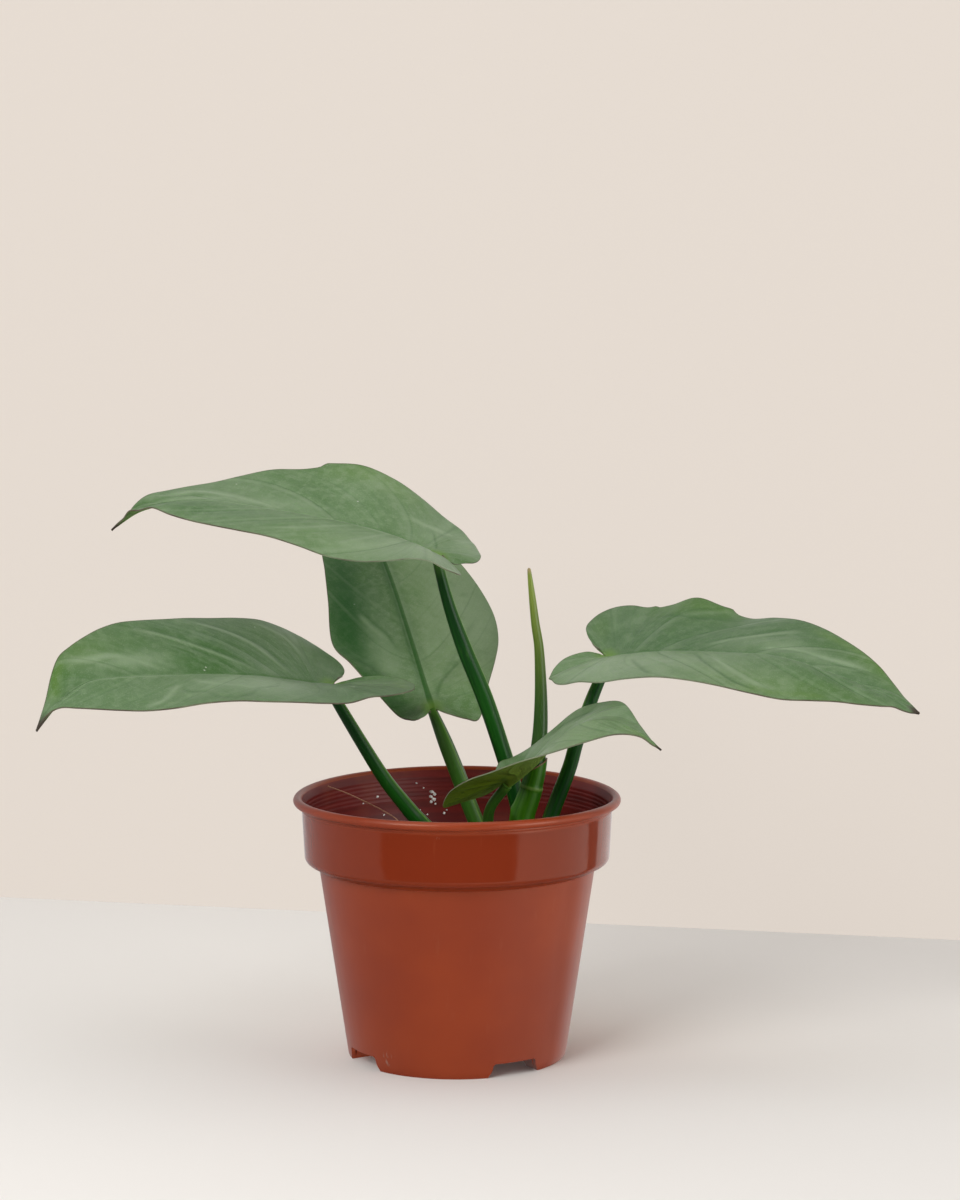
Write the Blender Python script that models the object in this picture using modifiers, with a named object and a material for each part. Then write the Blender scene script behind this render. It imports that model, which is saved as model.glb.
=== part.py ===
# A young arrow-leaved philodendron in a thin plastic nursery pot.
# Sizes below are millimetres and become metres as each shape is made. The front is -Y.
# Plant and pot are measured from the pot's axis at the ground, and POT_AXIS places that axis.
import math

import bmesh
import bpy
import numpy as np
from mathutils import Vector

MM = 0.001
GAP = 0.3
POT_AXIS = (-10.6, -19.9)

BEAD_CENTRE = (73.0, 118.0)
BEAD_RADIUS = 2.0
COLLAR_TOP = (71.1, 113.5)
COLLAR_FOOT = (70.0, 91.0)
COLLAR_INSIDE = [(67.8, 92.0), (68.8, 93.5)]
COLLAR_UNDER = [(69.1, 89.4), (64.1, 88.0)]
RIDGE_OUT = 0.3
RIDGE_DROP = 0.8
BEAD_TURNS = (150, 90, 45, 0, -45, -90)
BODY_TOP = (63.3, 87.4)
BODY_FOOT = (50.6, 3.0)
FOOT_RADIUS = 50.0
FOOT_FLAT = 1.5
WALL = 1.2
FLOOR_UNDER = 7.0
FLOOR_CORNER = 2.0
POT_STEPS = 48
NOTCH_TURNS = (30.0, 120.0, 210.0, 300.0)
NOTCH_SIZE = (12.0, 21.0, 6.4)
NOTCH_CORNER = 2.4
NOTCH_STEPS = 3
DRAIN_RADIUS = 4.5
DRAIN_CIRCLE = 33.0
DRAIN_COUNT = 6
DRAIN_STEPS = 16

SOIL_EDGE = 84.0
SOIL_CROWN = 89.0
SOIL_STEPS = 32
# Each clod wave has its height and its turn per millimetre along x and y, in radians.
CLOD_WAVES = [(0.5, 0.31, 0.0), (0.4, 0.0, 0.27), (0.35, 0.24, 0.5)]
SOIL_RINGS = (0.2, 0.4, 0.6, 0.8, 0.93)

CROWN_PLACE = (25.0, 0.5)
CROWN_OUTLINE = [(17.0, 77.5), (17.4, 75.0), (13.5, 66.0), (9.0, 50.0), (6.0, 40.0)]
CROWN_STEPS = 20
HOLE_DEEPER = 2.0

BLADE_THICK = 0.8
RIB_DEPTH = 3.2
RIB_TAPER = 1.5
MIDRIB_STEPS = 12
ROWS_PER_SPAN = 3
ACROSS = (0.0, 0.09, 0.36, 0.7, 1.0)
SIDES = ("front", "back")
RISE_POWER = 1.2
ARCH_SHAPE = 4.0
FULL_WIDTH = 40.0
STEEPEST = 0.4

# Half a blade's outline from the petiole round the lobe to the tip. Each point gives its place along
# the blade (lobe lengths behind the petiole, blade lengths before it) and across it in half widths.
OUTLINE = [
    (-0.10, 0.02), (-0.45, 0.14), (-0.90, 0.36), (-1.00, 0.60), (-0.70, 0.82), (-0.20, 0.95),
    (0.10, 1.00), (0.28, 0.97), (0.46, 0.86), (0.64, 0.67), (0.79, 0.43), (0.90, 0.21),
    (0.96, 0.085), (1.00, 0.015),
]
# The part of the midrib where the vein that runs to each outline point starts.
ROOTS = [0.0, 0.004, 0.010, 0.018, 0.030, 0.050, 0.085, 0.17, 0.31, 0.48, 0.66, 0.82, 0.92, 1.0]

# A blade starts at attach and points along heading, in degrees from +X towards +Y. Its front half is
# the one nearer to -Y. Pairs are front and back. midrib holds heights over attach at even steps, and
# front and back hold the margin's heights over attach at the outline's points. seat is where the
# petiole ends: its distance ahead of attach and its drop under the rib. A wave is its side,
# the outline point it is at, its spread and its height. outlines holds the front and back outline in
# millimetres where a blade's own shape is far from the others'.
BLADES = {
    "upper_left": dict(
        attach=(-8.0, -5.0, 230.0), heading=170.0, length=154.0, lobe=(13.5, 15.5), width=(39.0, 40.0),
        midrib=[0, 11.5, 18, 21.5, 24, 24, 10],
        front=[0, -2.5, -6.5, -6.5, -4, 0, 1, 2.5, 10, 14.5, 18.5, 21, 16, 10],
        back=[0.5, -1.5, -3, -2.5, 0.5, 8, 23, 35.5, 35, 33.5, 29, 25, 17, 10],
        seat=(1.2, 0.85), arch=(2.0, 1.5), waves=[("back", 7.45, 0.3, 3.0), ("back", 6.6, 0.3, 1.5)],
    ),
    "lower_left": dict(
        attach=(-57.0, -5.0, 171.0), heading=215.0, length=148.0, lobe=(29.0, 17.0), width=(39.0, 39.0),
        midrib=[0, 4.5, 8.5, 10, 11, 10.5, -8.5],
        front=[-0.5, 3, 3, -1, -0.5, -2, -2.5, -0.5, 1.5, 0, 0, 2.5, 0.5, -8.5],
        back=[1, 4, 5, 6, 11, 19, 26.5, 29.5, 31, 31, 26.5, 19.5, 2, -8.5],
        seat=(1.2, 1.3), arch=(1.0, 3.0), waves=[],
    ),
    "rear": dict(
        attach=(-11.5, 15.0, 158.0), heading=109.5, length=122.0,
        midrib=[0, 19, 37, 54, 68, 78, 80],
        outlines=(
            [(-0.8, 0.8), (-3, 4.5), (-5, 8.5), (-4.5, 12), (1, 17), (11, 25), (24, 32),
             (41, 36), (61, 32), (80, 28), (98, 24), (111, 15), (118, 6), (122, 0.6)],
            [(-1, 0.8), (-5, 5.5), (-8, 13.7), (-6, 21.2), (1, 27.6), (10, 34.3), (24, 41),
             (40, 44.5), (58, 43.5), (76, 39.5), (94, 34), (109, 20), (117, 8), (122, 0.6)],
        ),
        front=[-0.5, -3, -4, -4.5, -2, 9.5, 17.5, 28, 45.5, 58.5, 68, 75, 79.5, 80],
        back=[-0.5, -1.5, -5, -4, 6.5, 18.5, 28.5, 38, 48.5, 59, 69, 76, 79.5, 80],
        seat=(1.2, 1.8), arch=(-1.0, -1.0), waves=[],
    ),
    "right": dict(
        attach=(68.0, -5.0, 184.0), heading=-28.0, length=149.0, lobe=(17.0, 19.0), width=(39.0, 39.0),
        midrib=[0, 4, 4.5, 4.5, 1.5, -5, -16],
        front=[0.5, 2, -0.5, -9, -7.5, -8.5, -5.5, -2.5, -5.5, -10.5, -11.5, -12.5, -14.5, -16],
        back=[1, 5, 11.5, 13, 18.5, 19, 20, 20.5, 17, 14, 5.5, -6, -13, -16],
        seat=(1.2, 1.05), arch=(1.5, 2.0), waves=[("back", 6.5, 0.35, 3.5), ("back", 7.3, 0.3, -2.5)],
    ),
    "front_small": dict(
        attach=(22.0, -28.0, 130.0), heading=-38.0, length=84.0, lobe=(25.5, 14.0), width=(22.0, 22.0),
        midrib=[0, 10, 22, 31, 33.5, 30.5, 23],
        front=[-1.5, -7, -11, -11.5, -3.5, 3.5, 8.5, 14.5, 19.5, 25, 29, 28.5, 25, 23],
        back=[1, 0.5, 0, 6, 8.5, 13, 21.5, 32.5, 37.5, 39, 31, 26, 24, 23],
        seat=(1.0, 2.6), arch=(0.0, 0.0), waves=[],
    ),
}

# Stems rise from the crown's top: x, y, z, radius. A petiole ends under the base of its blade.
STEMS = {
    "petiole_upper_left": [
        (33.5, 9, 84, 3.4), (32.5, 9, 92, 3.4), (28.2, 9, 110, 3.4), (25.4, 8, 121.6, 3.3),
        (21.3, 7, 135.7, 3.1), (12, 4, 164, 2.9), (3.3, 1, 186, 2.7), (-3.8, -2, 207, 2.4),
    ],
    "petiole_lower_left": [
        (12, 0, 82, 3.3), (2, -1, 92, 3.4), (-10, -2, 101, 3.4), (-18, -2, 109, 3.3),
        (-23, -3, 115, 3.1), (-33, -4, 128, 2.8), (-43.5, -5, 145, 2.6), (-53, -5, 161, 2.4),
    ],
    "petiole_rear": [
        (18, 10, 84, 3.3), (13, 10.5, 96, 3.3), (7.5, 11, 108.5, 3.2), (1, 12, 125.5, 2.9),
        (-5.5, 13, 142, 2.7),
    ],
    "petiole_right": [
        (37.5, -4, 84, 3.4), (39, -4, 96, 3.4), (43, -4, 111, 3.3), (51, -4, 132.5, 3.1),
        (53.6, -5, 145, 3.0), (60.6, -5, 163, 2.7), (65.3, -5, 174.5, 2.4),
    ],
    "petiole_front_small": [
        (16.5, -9.5, 84, 2.9), (14.5, -14, 98, 2.8), (14.1, -18, 110, 2.5),
        (15.6, -23, 118.5, 2.3),
    ],
    "sheath": [
        (28.5, -1, 84, 5.2), (30, -1.5, 98, 5.8), (32, -2, 110, 5.6), (34.5, -2, 118, 4.6),
        (35.3, -2, 124, 4.0),
    ],
    "rolled_leaf": [
        (35.5, -2, 124.4, 3.7), (36.2, -2, 131, 4.0), (36.9, -2, 139, 3.9), (38.1, -2, 150, 3.5),
        (38.4, -2, 161, 3.05), (38.2, -2, 173, 2.6), (37.4, -2, 188, 2.1), (35.8, -2, 198.5, 1.8),
        (34.4, -2, 210.5, 1.4), (32.8, -2, 222, 0.6),
    ],
}
STEM_SPAN = 2
STEM_SIDES = 3
BURIED_POINTS = 2 * STEM_SPAN + 2
SEAT_RADIUS = 2.2
BURIED_STEMS = [name for name in STEMS if name != "rolled_leaf"]

MERGE = 0.00001
SHARP_ANGLE = 45.0

LEAF_GREEN = (0.085, 0.165, 0.070)
STEM_GREEN = (0.020, 0.070, 0.012)
SHOOT_GREEN = (0.075, 0.190, 0.018)
POT_CLAY = (0.240, 0.052, 0.024)
SOIL_BROWN = (0.022, 0.014, 0.009)


def clear_scene():
    for obj in list(bpy.data.objects):
        bpy.data.objects.remove(obj, do_unlink=True)


def new_collection(name):
    collection = bpy.data.collections.new(name)
    bpy.context.scene.collection.children.link(collection)
    return collection


def material(name, colour, roughness):
    made = bpy.data.materials.new(name)
    made.use_nodes = True
    shader = made.node_tree.nodes["Principled BSDF"]
    shader.inputs["Base Color"].default_value = (*colour, 1.0)
    shader.inputs["Roughness"].default_value = roughness
    shader.inputs["Metallic"].default_value = 0.0
    return made


def add_object(name, data, collection, finish=None):
    obj = bpy.data.objects.new(name, data)
    collection.objects.link(obj)
    obj.parent = plant_place
    if finish:
        obj.data.materials.append(finish)
    return obj


def as_cutter(obj):
    obj.hide_render = True
    obj.display_type = "WIRE"
    return obj


def cut(obj, cutter):
    boolean = obj.modifiers.new("Cut " + cutter.name, "BOOLEAN")
    boolean.operation = "DIFFERENCE"
    boolean.object = cutter


def smooth_points(points, per_span):
    """Points on the Catmull-Rom curve through the given ones, per_span for each stretch."""
    given = np.asarray(points, float)
    if given.ndim == 1:
        given = given[:, None]
    padded = np.vstack([2 * given[0] - given[1], given, 2 * given[-1] - given[-2]])
    found = []
    for first in range(len(given) - 1):
        a, b, c, d = padded[first:first + 4]
        for step in range(per_span):
            t = step / per_span
            square = (2 * a - 5 * b + 4 * c - d) * t**2
            cube = (3 * b - a - 3 * c + d) * t**3
            found.append(0.5 * (2 * b + (c - a) * t + square + cube))
    found.append(given[-1])
    return np.array(found)


def turned_mesh(name, outline):
    """A mesh of the outline's (radius, height) points joined by edges, for a Screw modifier."""
    mesh = bpy.data.meshes.new(name)
    edges = [(i, i + 1) for i in range(len(outline) - 1)]
    mesh.from_pydata([(radius * MM, 0.0, height * MM) for radius, height in outline], edges, [])
    return mesh


def turn(obj, steps):
    screw = obj.modifiers.new("Turn", "SCREW")
    screw.steps = steps
    screw.render_steps = steps
    screw.use_merge_vertices = True
    screw.merge_threshold = MERGE
    screw.use_smooth_shade = True


def body_radius(height):
    """The pot body's outer radius at a height."""
    share = (height - BODY_FOOT[1]) / (BODY_TOP[1] - BODY_FOOT[1])
    return BODY_FOOT[0] + share * (BODY_TOP[0] - BODY_FOOT[0])


def inner_radius(height):
    return body_radius(height) - WALL


def pot_outline():
    """The pot's whole section, from the floor's middle up the inside, over the rim and down the outside."""
    floor_top = FLOOR_UNDER + WALL
    corner = floor_top + FLOOR_CORNER
    inside = [(0.0, floor_top), (inner_radius(floor_top) - FLOOR_CORNER, floor_top)]
    inside += [(inner_radius(corner), corner), (inner_radius(BODY_TOP[1]), BODY_TOP[1])]
    inside += COLLAR_INSIDE + [(COLLAR_TOP[0] - WALL, COLLAR_TOP[1])]
    bead = []
    for degrees in BEAD_TURNS:
        turned = math.radians(degrees)
        radius = BEAD_CENTRE[0] + BEAD_RADIUS * math.cos(turned)
        bead.append((radius, BEAD_CENTRE[1] + BEAD_RADIUS * math.sin(turned)))
    ridge = [(COLLAR_TOP[0] + RIDGE_OUT, BEAD_CENTRE[1] - BEAD_RADIUS - RIDGE_DROP), COLLAR_TOP]
    outside = [COLLAR_FOOT] + COLLAR_UNDER + [BODY_TOP, BODY_FOOT, (FOOT_RADIUS, 0.0)]
    outside += [(FOOT_RADIUS - FOOT_FLAT, 0.0), (BODY_FOOT[0] - WALL, FLOOR_UNDER), (0.0, FLOOR_UNDER)]
    return inside + bead + ridge + outside


def make_pot():
    pot = add_object("pot", turned_mesh("pot", pot_outline()), parts, clay)
    turn(pot, POT_STEPS)
    for number, turned in enumerate(NOTCH_TURNS):
        bpy.ops.mesh.primitive_cube_add(size=1.0)
        notch = as_cutter(bpy.context.object)
        notch.name = f"notch_cutter_{number + 1}"
        move_to(notch, cutters)
        depth, width, height = NOTCH_SIZE
        for vertex in notch.data.vertices:
            vertex.co = Vector((vertex.co.x * depth, vertex.co.y * width, vertex.co.z * 2 * height)) * MM
        angle = math.radians(turned - 90.0)
        notch.location = Vector((math.cos(angle), math.sin(angle), 0.0)) * FOOT_RADIUS * MM
        notch.rotation_euler.z = angle
        bevel = notch.modifiers.new("Corners", "BEVEL")
        bevel.width = NOTCH_CORNER * MM
        bevel.segments = NOTCH_STEPS
        cut(pot, notch)
    for number in range(DRAIN_COUNT):
        angle = math.tau * (number + 0.5) / DRAIN_COUNT
        bpy.ops.mesh.primitive_cylinder_add(
            vertices=DRAIN_STEPS, radius=DRAIN_RADIUS * MM, depth=4 * WALL * MM
        )
        drain = as_cutter(bpy.context.object)
        drain.name = f"drain_cutter_{number + 1}"
        move_to(drain, cutters)
        drain.location = Vector((math.cos(angle), math.sin(angle), 0.0)) * DRAIN_CIRCLE * MM
        drain.location.z = (FLOOR_UNDER + WALL / 2) * MM
        cut(pot, drain)


def move_to(obj, collection):
    for other in list(obj.users_collection):
        other.objects.unlink(obj)
    collection.objects.link(obj)
    obj.parent = plant_place


def turned_crown(name, collection, spare):
    """The crown's turned shape, made larger all round by spare."""
    sides = [(radius + spare, height) for radius, height in CROWN_OUTLINE[1:-1]]
    top_radius, top = CROWN_OUTLINE[0]
    end_radius, end = CROWN_OUTLINE[-1]
    outline = [(0.0, top + spare), (top_radius + spare, top + spare)] + sides
    outline += [(end_radius + spare, end - spare), (0.0, end - spare)]
    made = add_object(name, turned_mesh(name, outline), collection)
    made.location = (CROWN_PLACE[0] * MM, CROWN_PLACE[1] * MM, 0.0)
    turn(made, CROWN_STEPS)
    return made


def make_crown():
    """The short stem base that the petioles spring from. Returns the cutter for its place in the soil."""
    crown = turned_crown("crown", parts, 0.0)
    crown.data.materials.append(shoot)
    return as_cutter(turned_crown("crown_cutter", cutters, GAP))


def clod_height(x, y):
    """Low lumps on the soil from a few crossed waves."""
    return sum(height * math.sin(turn_x * x + turn_y * y) for height, turn_x, turn_y in CLOD_WAVES)


def make_soil(stem_cutters):
    """The soil fills the pot: rings from the middle of its top out to the wall, then down to the floor."""
    bottom = FLOOR_UNDER + WALL + GAP
    edge = inner_radius(SOIL_EDGE) - GAP
    rings = []
    for share in SOIL_RINGS:
        rings.append((edge * share, SOIL_EDGE + (SOIL_CROWN - SOIL_EDGE) * (1.0 - share**2), 1.0))
    rings.append((edge, SOIL_EDGE, 0.0))
    corner = bottom + FLOOR_CORNER
    rings.append((inner_radius(corner) - GAP, corner, 0.0))
    rings.append((inner_radius(bottom) - FLOOR_CORNER - GAP, bottom, 0.0))
    build = bmesh.new()
    middle = build.verts.new((0.0, 0.0, SOIL_CROWN * MM))
    base = build.verts.new((0.0, 0.0, bottom * MM))
    loops = []
    for radius, height, lumpy in rings:
        loop = []
        for step in range(SOIL_STEPS):
            angle = math.tau * step / SOIL_STEPS
            x, y = radius * math.cos(angle), radius * math.sin(angle)
            z = height + lumpy * clod_height(x, y)
            loop.append(build.verts.new(Vector((x, y, z)) * MM))
        loops.append(loop)
    for step in range(SOIL_STEPS):
        after = (step + 1) % SOIL_STEPS
        build.faces.new((middle, loops[0][step], loops[0][after]))
        build.faces.new((base, loops[-1][after], loops[-1][step]))
        for upper, lower in zip(loops, loops[1:]):
            build.faces.new((upper[step], lower[step], lower[after], upper[after]))
    bmesh.ops.triangulate(build, faces=build.faces[:])
    mesh = bpy.data.meshes.new("soil")
    build.to_mesh(mesh)
    build.free()
    soil = add_object("soil", mesh, parts, earth)
    for cutter in stem_cutters:
        cut(soil, cutter)


def tube(name, points, extra=0.0):
    """A tapering round stem as a curve, made a mesh with its caps welded on."""
    curve = bpy.data.curves.new(name, "CURVE")
    curve.dimensions = "3D"
    curve.bevel_depth = MM
    curve.bevel_resolution = STEM_SIDES
    curve.use_fill_caps = True
    spline = curve.splines.new("POLY")
    spline.points.add(len(points) - 1)
    for place, (x, y, z, radius) in zip(spline.points, points):
        place.co = (x * MM, y * MM, z * MM, 1.0)
        place.radius = radius + extra
    guide = bpy.data.objects.new(name + "_curve", curve)
    cutters.objects.link(guide)
    bpy.context.view_layer.update()
    evaluated = guide.evaluated_get(bpy.context.evaluated_depsgraph_get())
    mesh = bpy.data.meshes.new_from_object(evaluated)
    bpy.data.objects.remove(guide)
    build = bmesh.new()
    build.from_mesh(mesh)
    bmesh.ops.remove_doubles(build, verts=build.verts[:], dist=MERGE)
    bmesh.ops.recalc_face_normals(build, faces=build.faces[:])
    build.to_mesh(mesh)
    build.free()
    mesh.name = name
    mesh.shade_smooth()
    mesh.set_sharp_from_angle(angle=math.radians(SHARP_ANGLE))
    return mesh


def midrib_level(blade, share):
    """The midrib's height over the blade's attach point at a share of its length."""
    heights = smooth_points(blade["midrib"], MIDRIB_STEPS)[:, 0]
    return np.interp(share, np.linspace(0, 1, len(heights)), heights)


def seat_under(blade):
    """Where a petiole's end meets the midrib under a blade's base."""
    along, _ = blade_axes(blade)
    x, y, z = blade["attach"]
    ahead, drop = blade["seat"]
    level = midrib_level(blade, ahead / blade["length"])
    return (x + ahead * along[0], y + ahead * along[1], z + level - RIB_DEPTH - drop, SEAT_RADIUS)


def make_stems():
    """The petioles, the sheath and the rolled leaf. Returns cutters for their plain holes in the soil."""
    holes = []
    for name, points in STEMS.items():
        held = BLADES.get(name.replace("petiole_", ""))
        if held:
            points = points + [seat_under(held)]
        path = smooth_points(points, STEM_SPAN)
        if name in BURIED_STEMS:
            path = np.vstack([(*path[0, :2], CROWN_OUTLINE[0][1] + GAP, path[0, 3]), path])
        finish = shoot if name in ("sheath", "rolled_leaf") else stalk
        add_object(name, tube(name, path), parts, finish)
        if name in BURIED_STEMS:
            buried = path[:BURIED_POINTS].copy()
            buried[0, 2] -= HOLE_DEEPER
            hole = tube(name + "_cutter", buried, GAP)
            holes.append(as_cutter(add_object(name + "_cutter", hole, cutters)))
    return holes


def blade_axes(blade):
    """The level unit vectors along a blade and across it towards the front."""
    heading = math.radians(blade["heading"])
    along = np.array([math.cos(heading), math.sin(heading)])
    across = np.array([-along[1], along[0]])
    return along, across if across[1] < 0 else -across


def blade_outline(blade, side):
    """The outline's points of one half as (ahead, out) in millimetres."""
    number = SIDES.index(side)
    if "outlines" in blade:
        return blade["outlines"][number]
    lobe, length, width = blade["lobe"][number], blade["length"], blade["width"][number]
    return [(ahead * (lobe if ahead < 0 else length), out * width) for ahead, out in OUTLINE]


def half_blade(blade, side):
    """Rows of points from the midrib out to one margin, and the midrib share where each row starts."""
    along, across = blade_axes(blade)
    across = across if side == "front" else -across
    outline = smooth_points(blade_outline(blade, side), ROWS_PER_SPAN)
    roots = smooth_points(ROOTS, ROWS_PER_SPAN)[:, 0]
    edges = smooth_points(blade[side], ROWS_PER_SPAN)[:, 0]
    start = np.array(blade["attach"])
    rows = []
    for row, ((ahead, out), root, edge) in enumerate(zip(outline, roots, edges)):
        inner = start[:2] + root * blade["length"] * along
        outer = start[:2] + ahead * along + out * across
        level = midrib_level(blade, root)
        for wave_side, centre, spread, height in blade["waves"]:
            if wave_side == side:
                edge += height * math.exp(-((row / ROWS_PER_SPAN - centre) / spread) ** 2)
        arch = ARCH_SHAPE * blade["arch"][SIDES.index(side)] * out / FULL_WIDTH
        line = []
        for share in ACROSS:
            z = start[2] + level + (edge - level) * share**RISE_POWER + arch * share * (1 - share)
            line.append((*(inner + (outer - inner) * share), z))
        rows.append(line)
    return np.array(rows), roots


def vertex_normals(points, faces):
    normals = np.zeros_like(points)
    for face in faces:
        a, b, c = points[list(face)]
        for corner in face:
            normals[corner] += np.cross(b - a, c - a)
    return normals / np.linalg.norm(normals, axis=1)[:, None]


def make_blade(name, blade):
    """A thin closed shell split into triangles alike on both faces, with the midrib raised underneath."""
    front, roots = half_blade(blade, "front")
    back, _ = half_blade(blade, "back")
    grid = np.concatenate([back[:, :0:-1], front], axis=1)
    rows, columns = grid.shape[:2]
    middle = len(ACROSS) - 1
    top = grid.reshape(-1, 3)
    faces = []
    for i in range(rows - 1):
        for j in range(columns - 1):
            a, b = i * columns + j, i * columns + j + 1
            c, d = b + columns, a + columns
            faces += [(a, b, c), (a, c, d)] if j < middle else [(a, b, d), (b, c, d)]
    if np.cross(top[faces[0][1]] - top[faces[0][0]], top[faces[0][2]] - top[faces[0][0]])[2] < 0:
        faces = [face[::-1] for face in faces]
    level = np.maximum(vertex_normals(top, faces)[:, 2], STEEPEST).reshape(rows, columns)
    thick = BLADE_THICK / level
    top = top + np.outer(thick.reshape(-1) / 2, (0, 0, 1))
    thick[:, middle] += (RIB_DEPTH - BLADE_THICK) * (1 - roots) ** RIB_TAPER
    under = top - np.outer(thick.reshape(-1), (0, 0, 1))
    count = len(top)
    rim = [j for j in range(columns)]
    rim += [i * columns + columns - 1 for i in range(1, rows)]
    rim += [(rows - 1) * columns + j for j in range(columns - 2, -1, -1)]
    rim += [i * columns for i in range(rows - 2, 0, -1)]
    build = bmesh.new()
    corners = [build.verts.new(Vector(point) * MM) for point in np.vstack([top, under])]
    for a, b, c in faces:
        build.faces.new((corners[a], corners[b], corners[c]))
        build.faces.new((corners[c + count], corners[b + count], corners[a + count]))
    for a, b in zip(rim, rim[1:] + rim[:1]):
        build.faces.new((corners[a], corners[b], corners[b + count]))
        build.faces.new((corners[a], corners[b + count], corners[a + count]))
    bmesh.ops.recalc_face_normals(build, faces=build.faces[:])
    mesh = bpy.data.meshes.new(name)
    build.to_mesh(mesh)
    build.free()
    mesh.shade_smooth()
    mesh.set_sharp_from_angle(angle=math.radians(SHARP_ANGLE))
    add_object(name, mesh, parts, leaf)


clear_scene()
parts = new_collection("potted_philodendron_hastatum")
cutters = new_collection("cutters")
plant_place = bpy.data.objects.new("pot_axis", None)
parts.objects.link(plant_place)
plant_place.location = (POT_AXIS[0] * MM, POT_AXIS[1] * MM, 0.0)
leaf = material("blade", LEAF_GREEN, 0.45)
stalk = material("petiole", STEM_GREEN, 0.4)
shoot = material("shoot", SHOOT_GREEN, 0.4)
clay = material("pot", POT_CLAY, 0.35)
earth = material("soil", SOIL_BROWN, 0.95)

make_pot()
soil_cutters = make_stems()
soil_cutters.insert(0, make_crown())
make_soil(soil_cutters)
for blade_name, blade_shape in BLADES.items():
    make_blade("blade_" + blade_name, blade_shape)
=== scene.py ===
import math
import random

import bpy
import numpy as np
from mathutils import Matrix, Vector, noise


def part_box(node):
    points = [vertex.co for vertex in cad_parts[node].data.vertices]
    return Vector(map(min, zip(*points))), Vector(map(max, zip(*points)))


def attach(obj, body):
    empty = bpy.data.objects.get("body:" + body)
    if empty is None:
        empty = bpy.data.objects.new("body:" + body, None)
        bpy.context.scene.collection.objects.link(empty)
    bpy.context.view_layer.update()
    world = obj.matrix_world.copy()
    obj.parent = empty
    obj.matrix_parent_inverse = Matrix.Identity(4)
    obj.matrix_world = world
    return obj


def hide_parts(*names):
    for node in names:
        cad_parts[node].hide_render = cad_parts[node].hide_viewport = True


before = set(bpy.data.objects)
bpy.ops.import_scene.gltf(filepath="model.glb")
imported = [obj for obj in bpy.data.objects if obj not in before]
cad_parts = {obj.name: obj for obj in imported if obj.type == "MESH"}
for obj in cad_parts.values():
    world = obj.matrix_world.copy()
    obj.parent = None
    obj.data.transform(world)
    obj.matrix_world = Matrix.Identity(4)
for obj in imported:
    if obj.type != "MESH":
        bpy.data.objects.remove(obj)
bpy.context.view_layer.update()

# A young silver-leaved philodendron in a terracotta-coloured nursery pot.
# Sizes are millimetres, measured from the pot's axis at the ground, and the front is -Y.
mm = 0.001
potLow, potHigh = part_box("pot")
potAxis = Vector(((potLow.x + potHigh.x) / 2, (potLow.y + potHigh.y) / 2, 0.0))
weld = 0.000005

# The camera stands where the photograph was taken from: 85 mm on a full frame, a little above the leaves.
view = dict(lens=85.0, sensor=36.0, place=(10.5, -1283.3, 336.2), down=5.64)


# Small helpers

def deselectAll():
    bpy.ops.object.select_all(action="DESELECT")


def makeActive(piece):
    deselectAll()
    piece.select_set(True)
    bpy.context.view_layer.objects.active = piece


def inEditMode(piece, *steps):
    makeActive(piece)
    bpy.ops.object.mode_set(mode="EDIT")
    bpy.ops.mesh.select_mode(type="VERT")
    bpy.ops.mesh.select_all(action="SELECT")
    for step in steps:
        step()
    bpy.ops.object.mode_set(mode="OBJECT")


def selectFaces(piece, wanted):
    # Edit mode is left on, with only these faces selected.
    inEditMode(piece, lambda: bpy.ops.mesh.select_all(action="DESELECT"))
    for face in piece.data.polygons:
        face.select = wanted(face)
    bpy.ops.object.mode_set(mode="EDIT")
    bpy.ops.mesh.select_mode(type="FACE")


def closeSeams(piece, *steps):
    # Welds the points that meet, takes the other steps and turns every face outward.
    inEditMode(
        piece,
        lambda: bpy.ops.mesh.remove_doubles(threshold=weld),
        *steps,
        lambda: bpy.ops.mesh.normals_make_consistent(inside=False),
    )


def applyModifiers(piece):
    makeActive(piece)
    for modifier in list(piece.modifiers):
        bpy.ops.object.modifier_apply(modifier=modifier.name)


def settle(piece):
    # The piece's place goes into its mesh, so the object sits at the origin.
    makeActive(piece)
    bpy.ops.object.transform_apply(location=True, rotation=True, scale=True)


def smoothAngle(piece, degrees):
    makeActive(piece)
    bpy.ops.object.shade_smooth_by_angle(angle=math.radians(degrees))


def toWorld(points):
    return np.asarray(points, float) * mm + np.array(potAxis)


def aroundAxis(angle, radius, height=0.0):
    place = Vector((math.cos(angle), math.sin(angle), 0.0)) * radius * mm + potAxis
    place.z = height * mm
    return place


def placeCopy(template, place, turn, shape, size):
    copy = template.copy()
    copy.data = template.data.copy()
    bpy.context.scene.collection.objects.link(copy)
    copy.location = toWorld(place)
    copy.rotation_euler = turn
    copy.scale = Vector(shape) * size * mm
    return copy


def joinCopies(copies, template):
    deselectAll()
    for copy in copies:
        copy.select_set(True)
    bpy.context.view_layer.objects.active = copies[0]
    bpy.ops.object.join()
    joined = bpy.context.object
    bpy.data.objects.remove(template)
    settle(joined)
    return joined


def dress(piece, name, looks, slot, *nodes):
    # Names the piece, gives it its materials, hangs it under the root body and hides the CAD nodes that it
    # stands for.
    piece.name = name
    piece.data.name = name
    if list(piece.data.materials) != looks:
        piece.data.materials.clear()  # this also gives every face the first material
        for look in looks:
            piece.data.materials.append(look)
    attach(piece, "root")
    if nodes:
        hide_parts(*nodes)
    print(name, len(piece.data.polygons), "faces")


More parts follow.
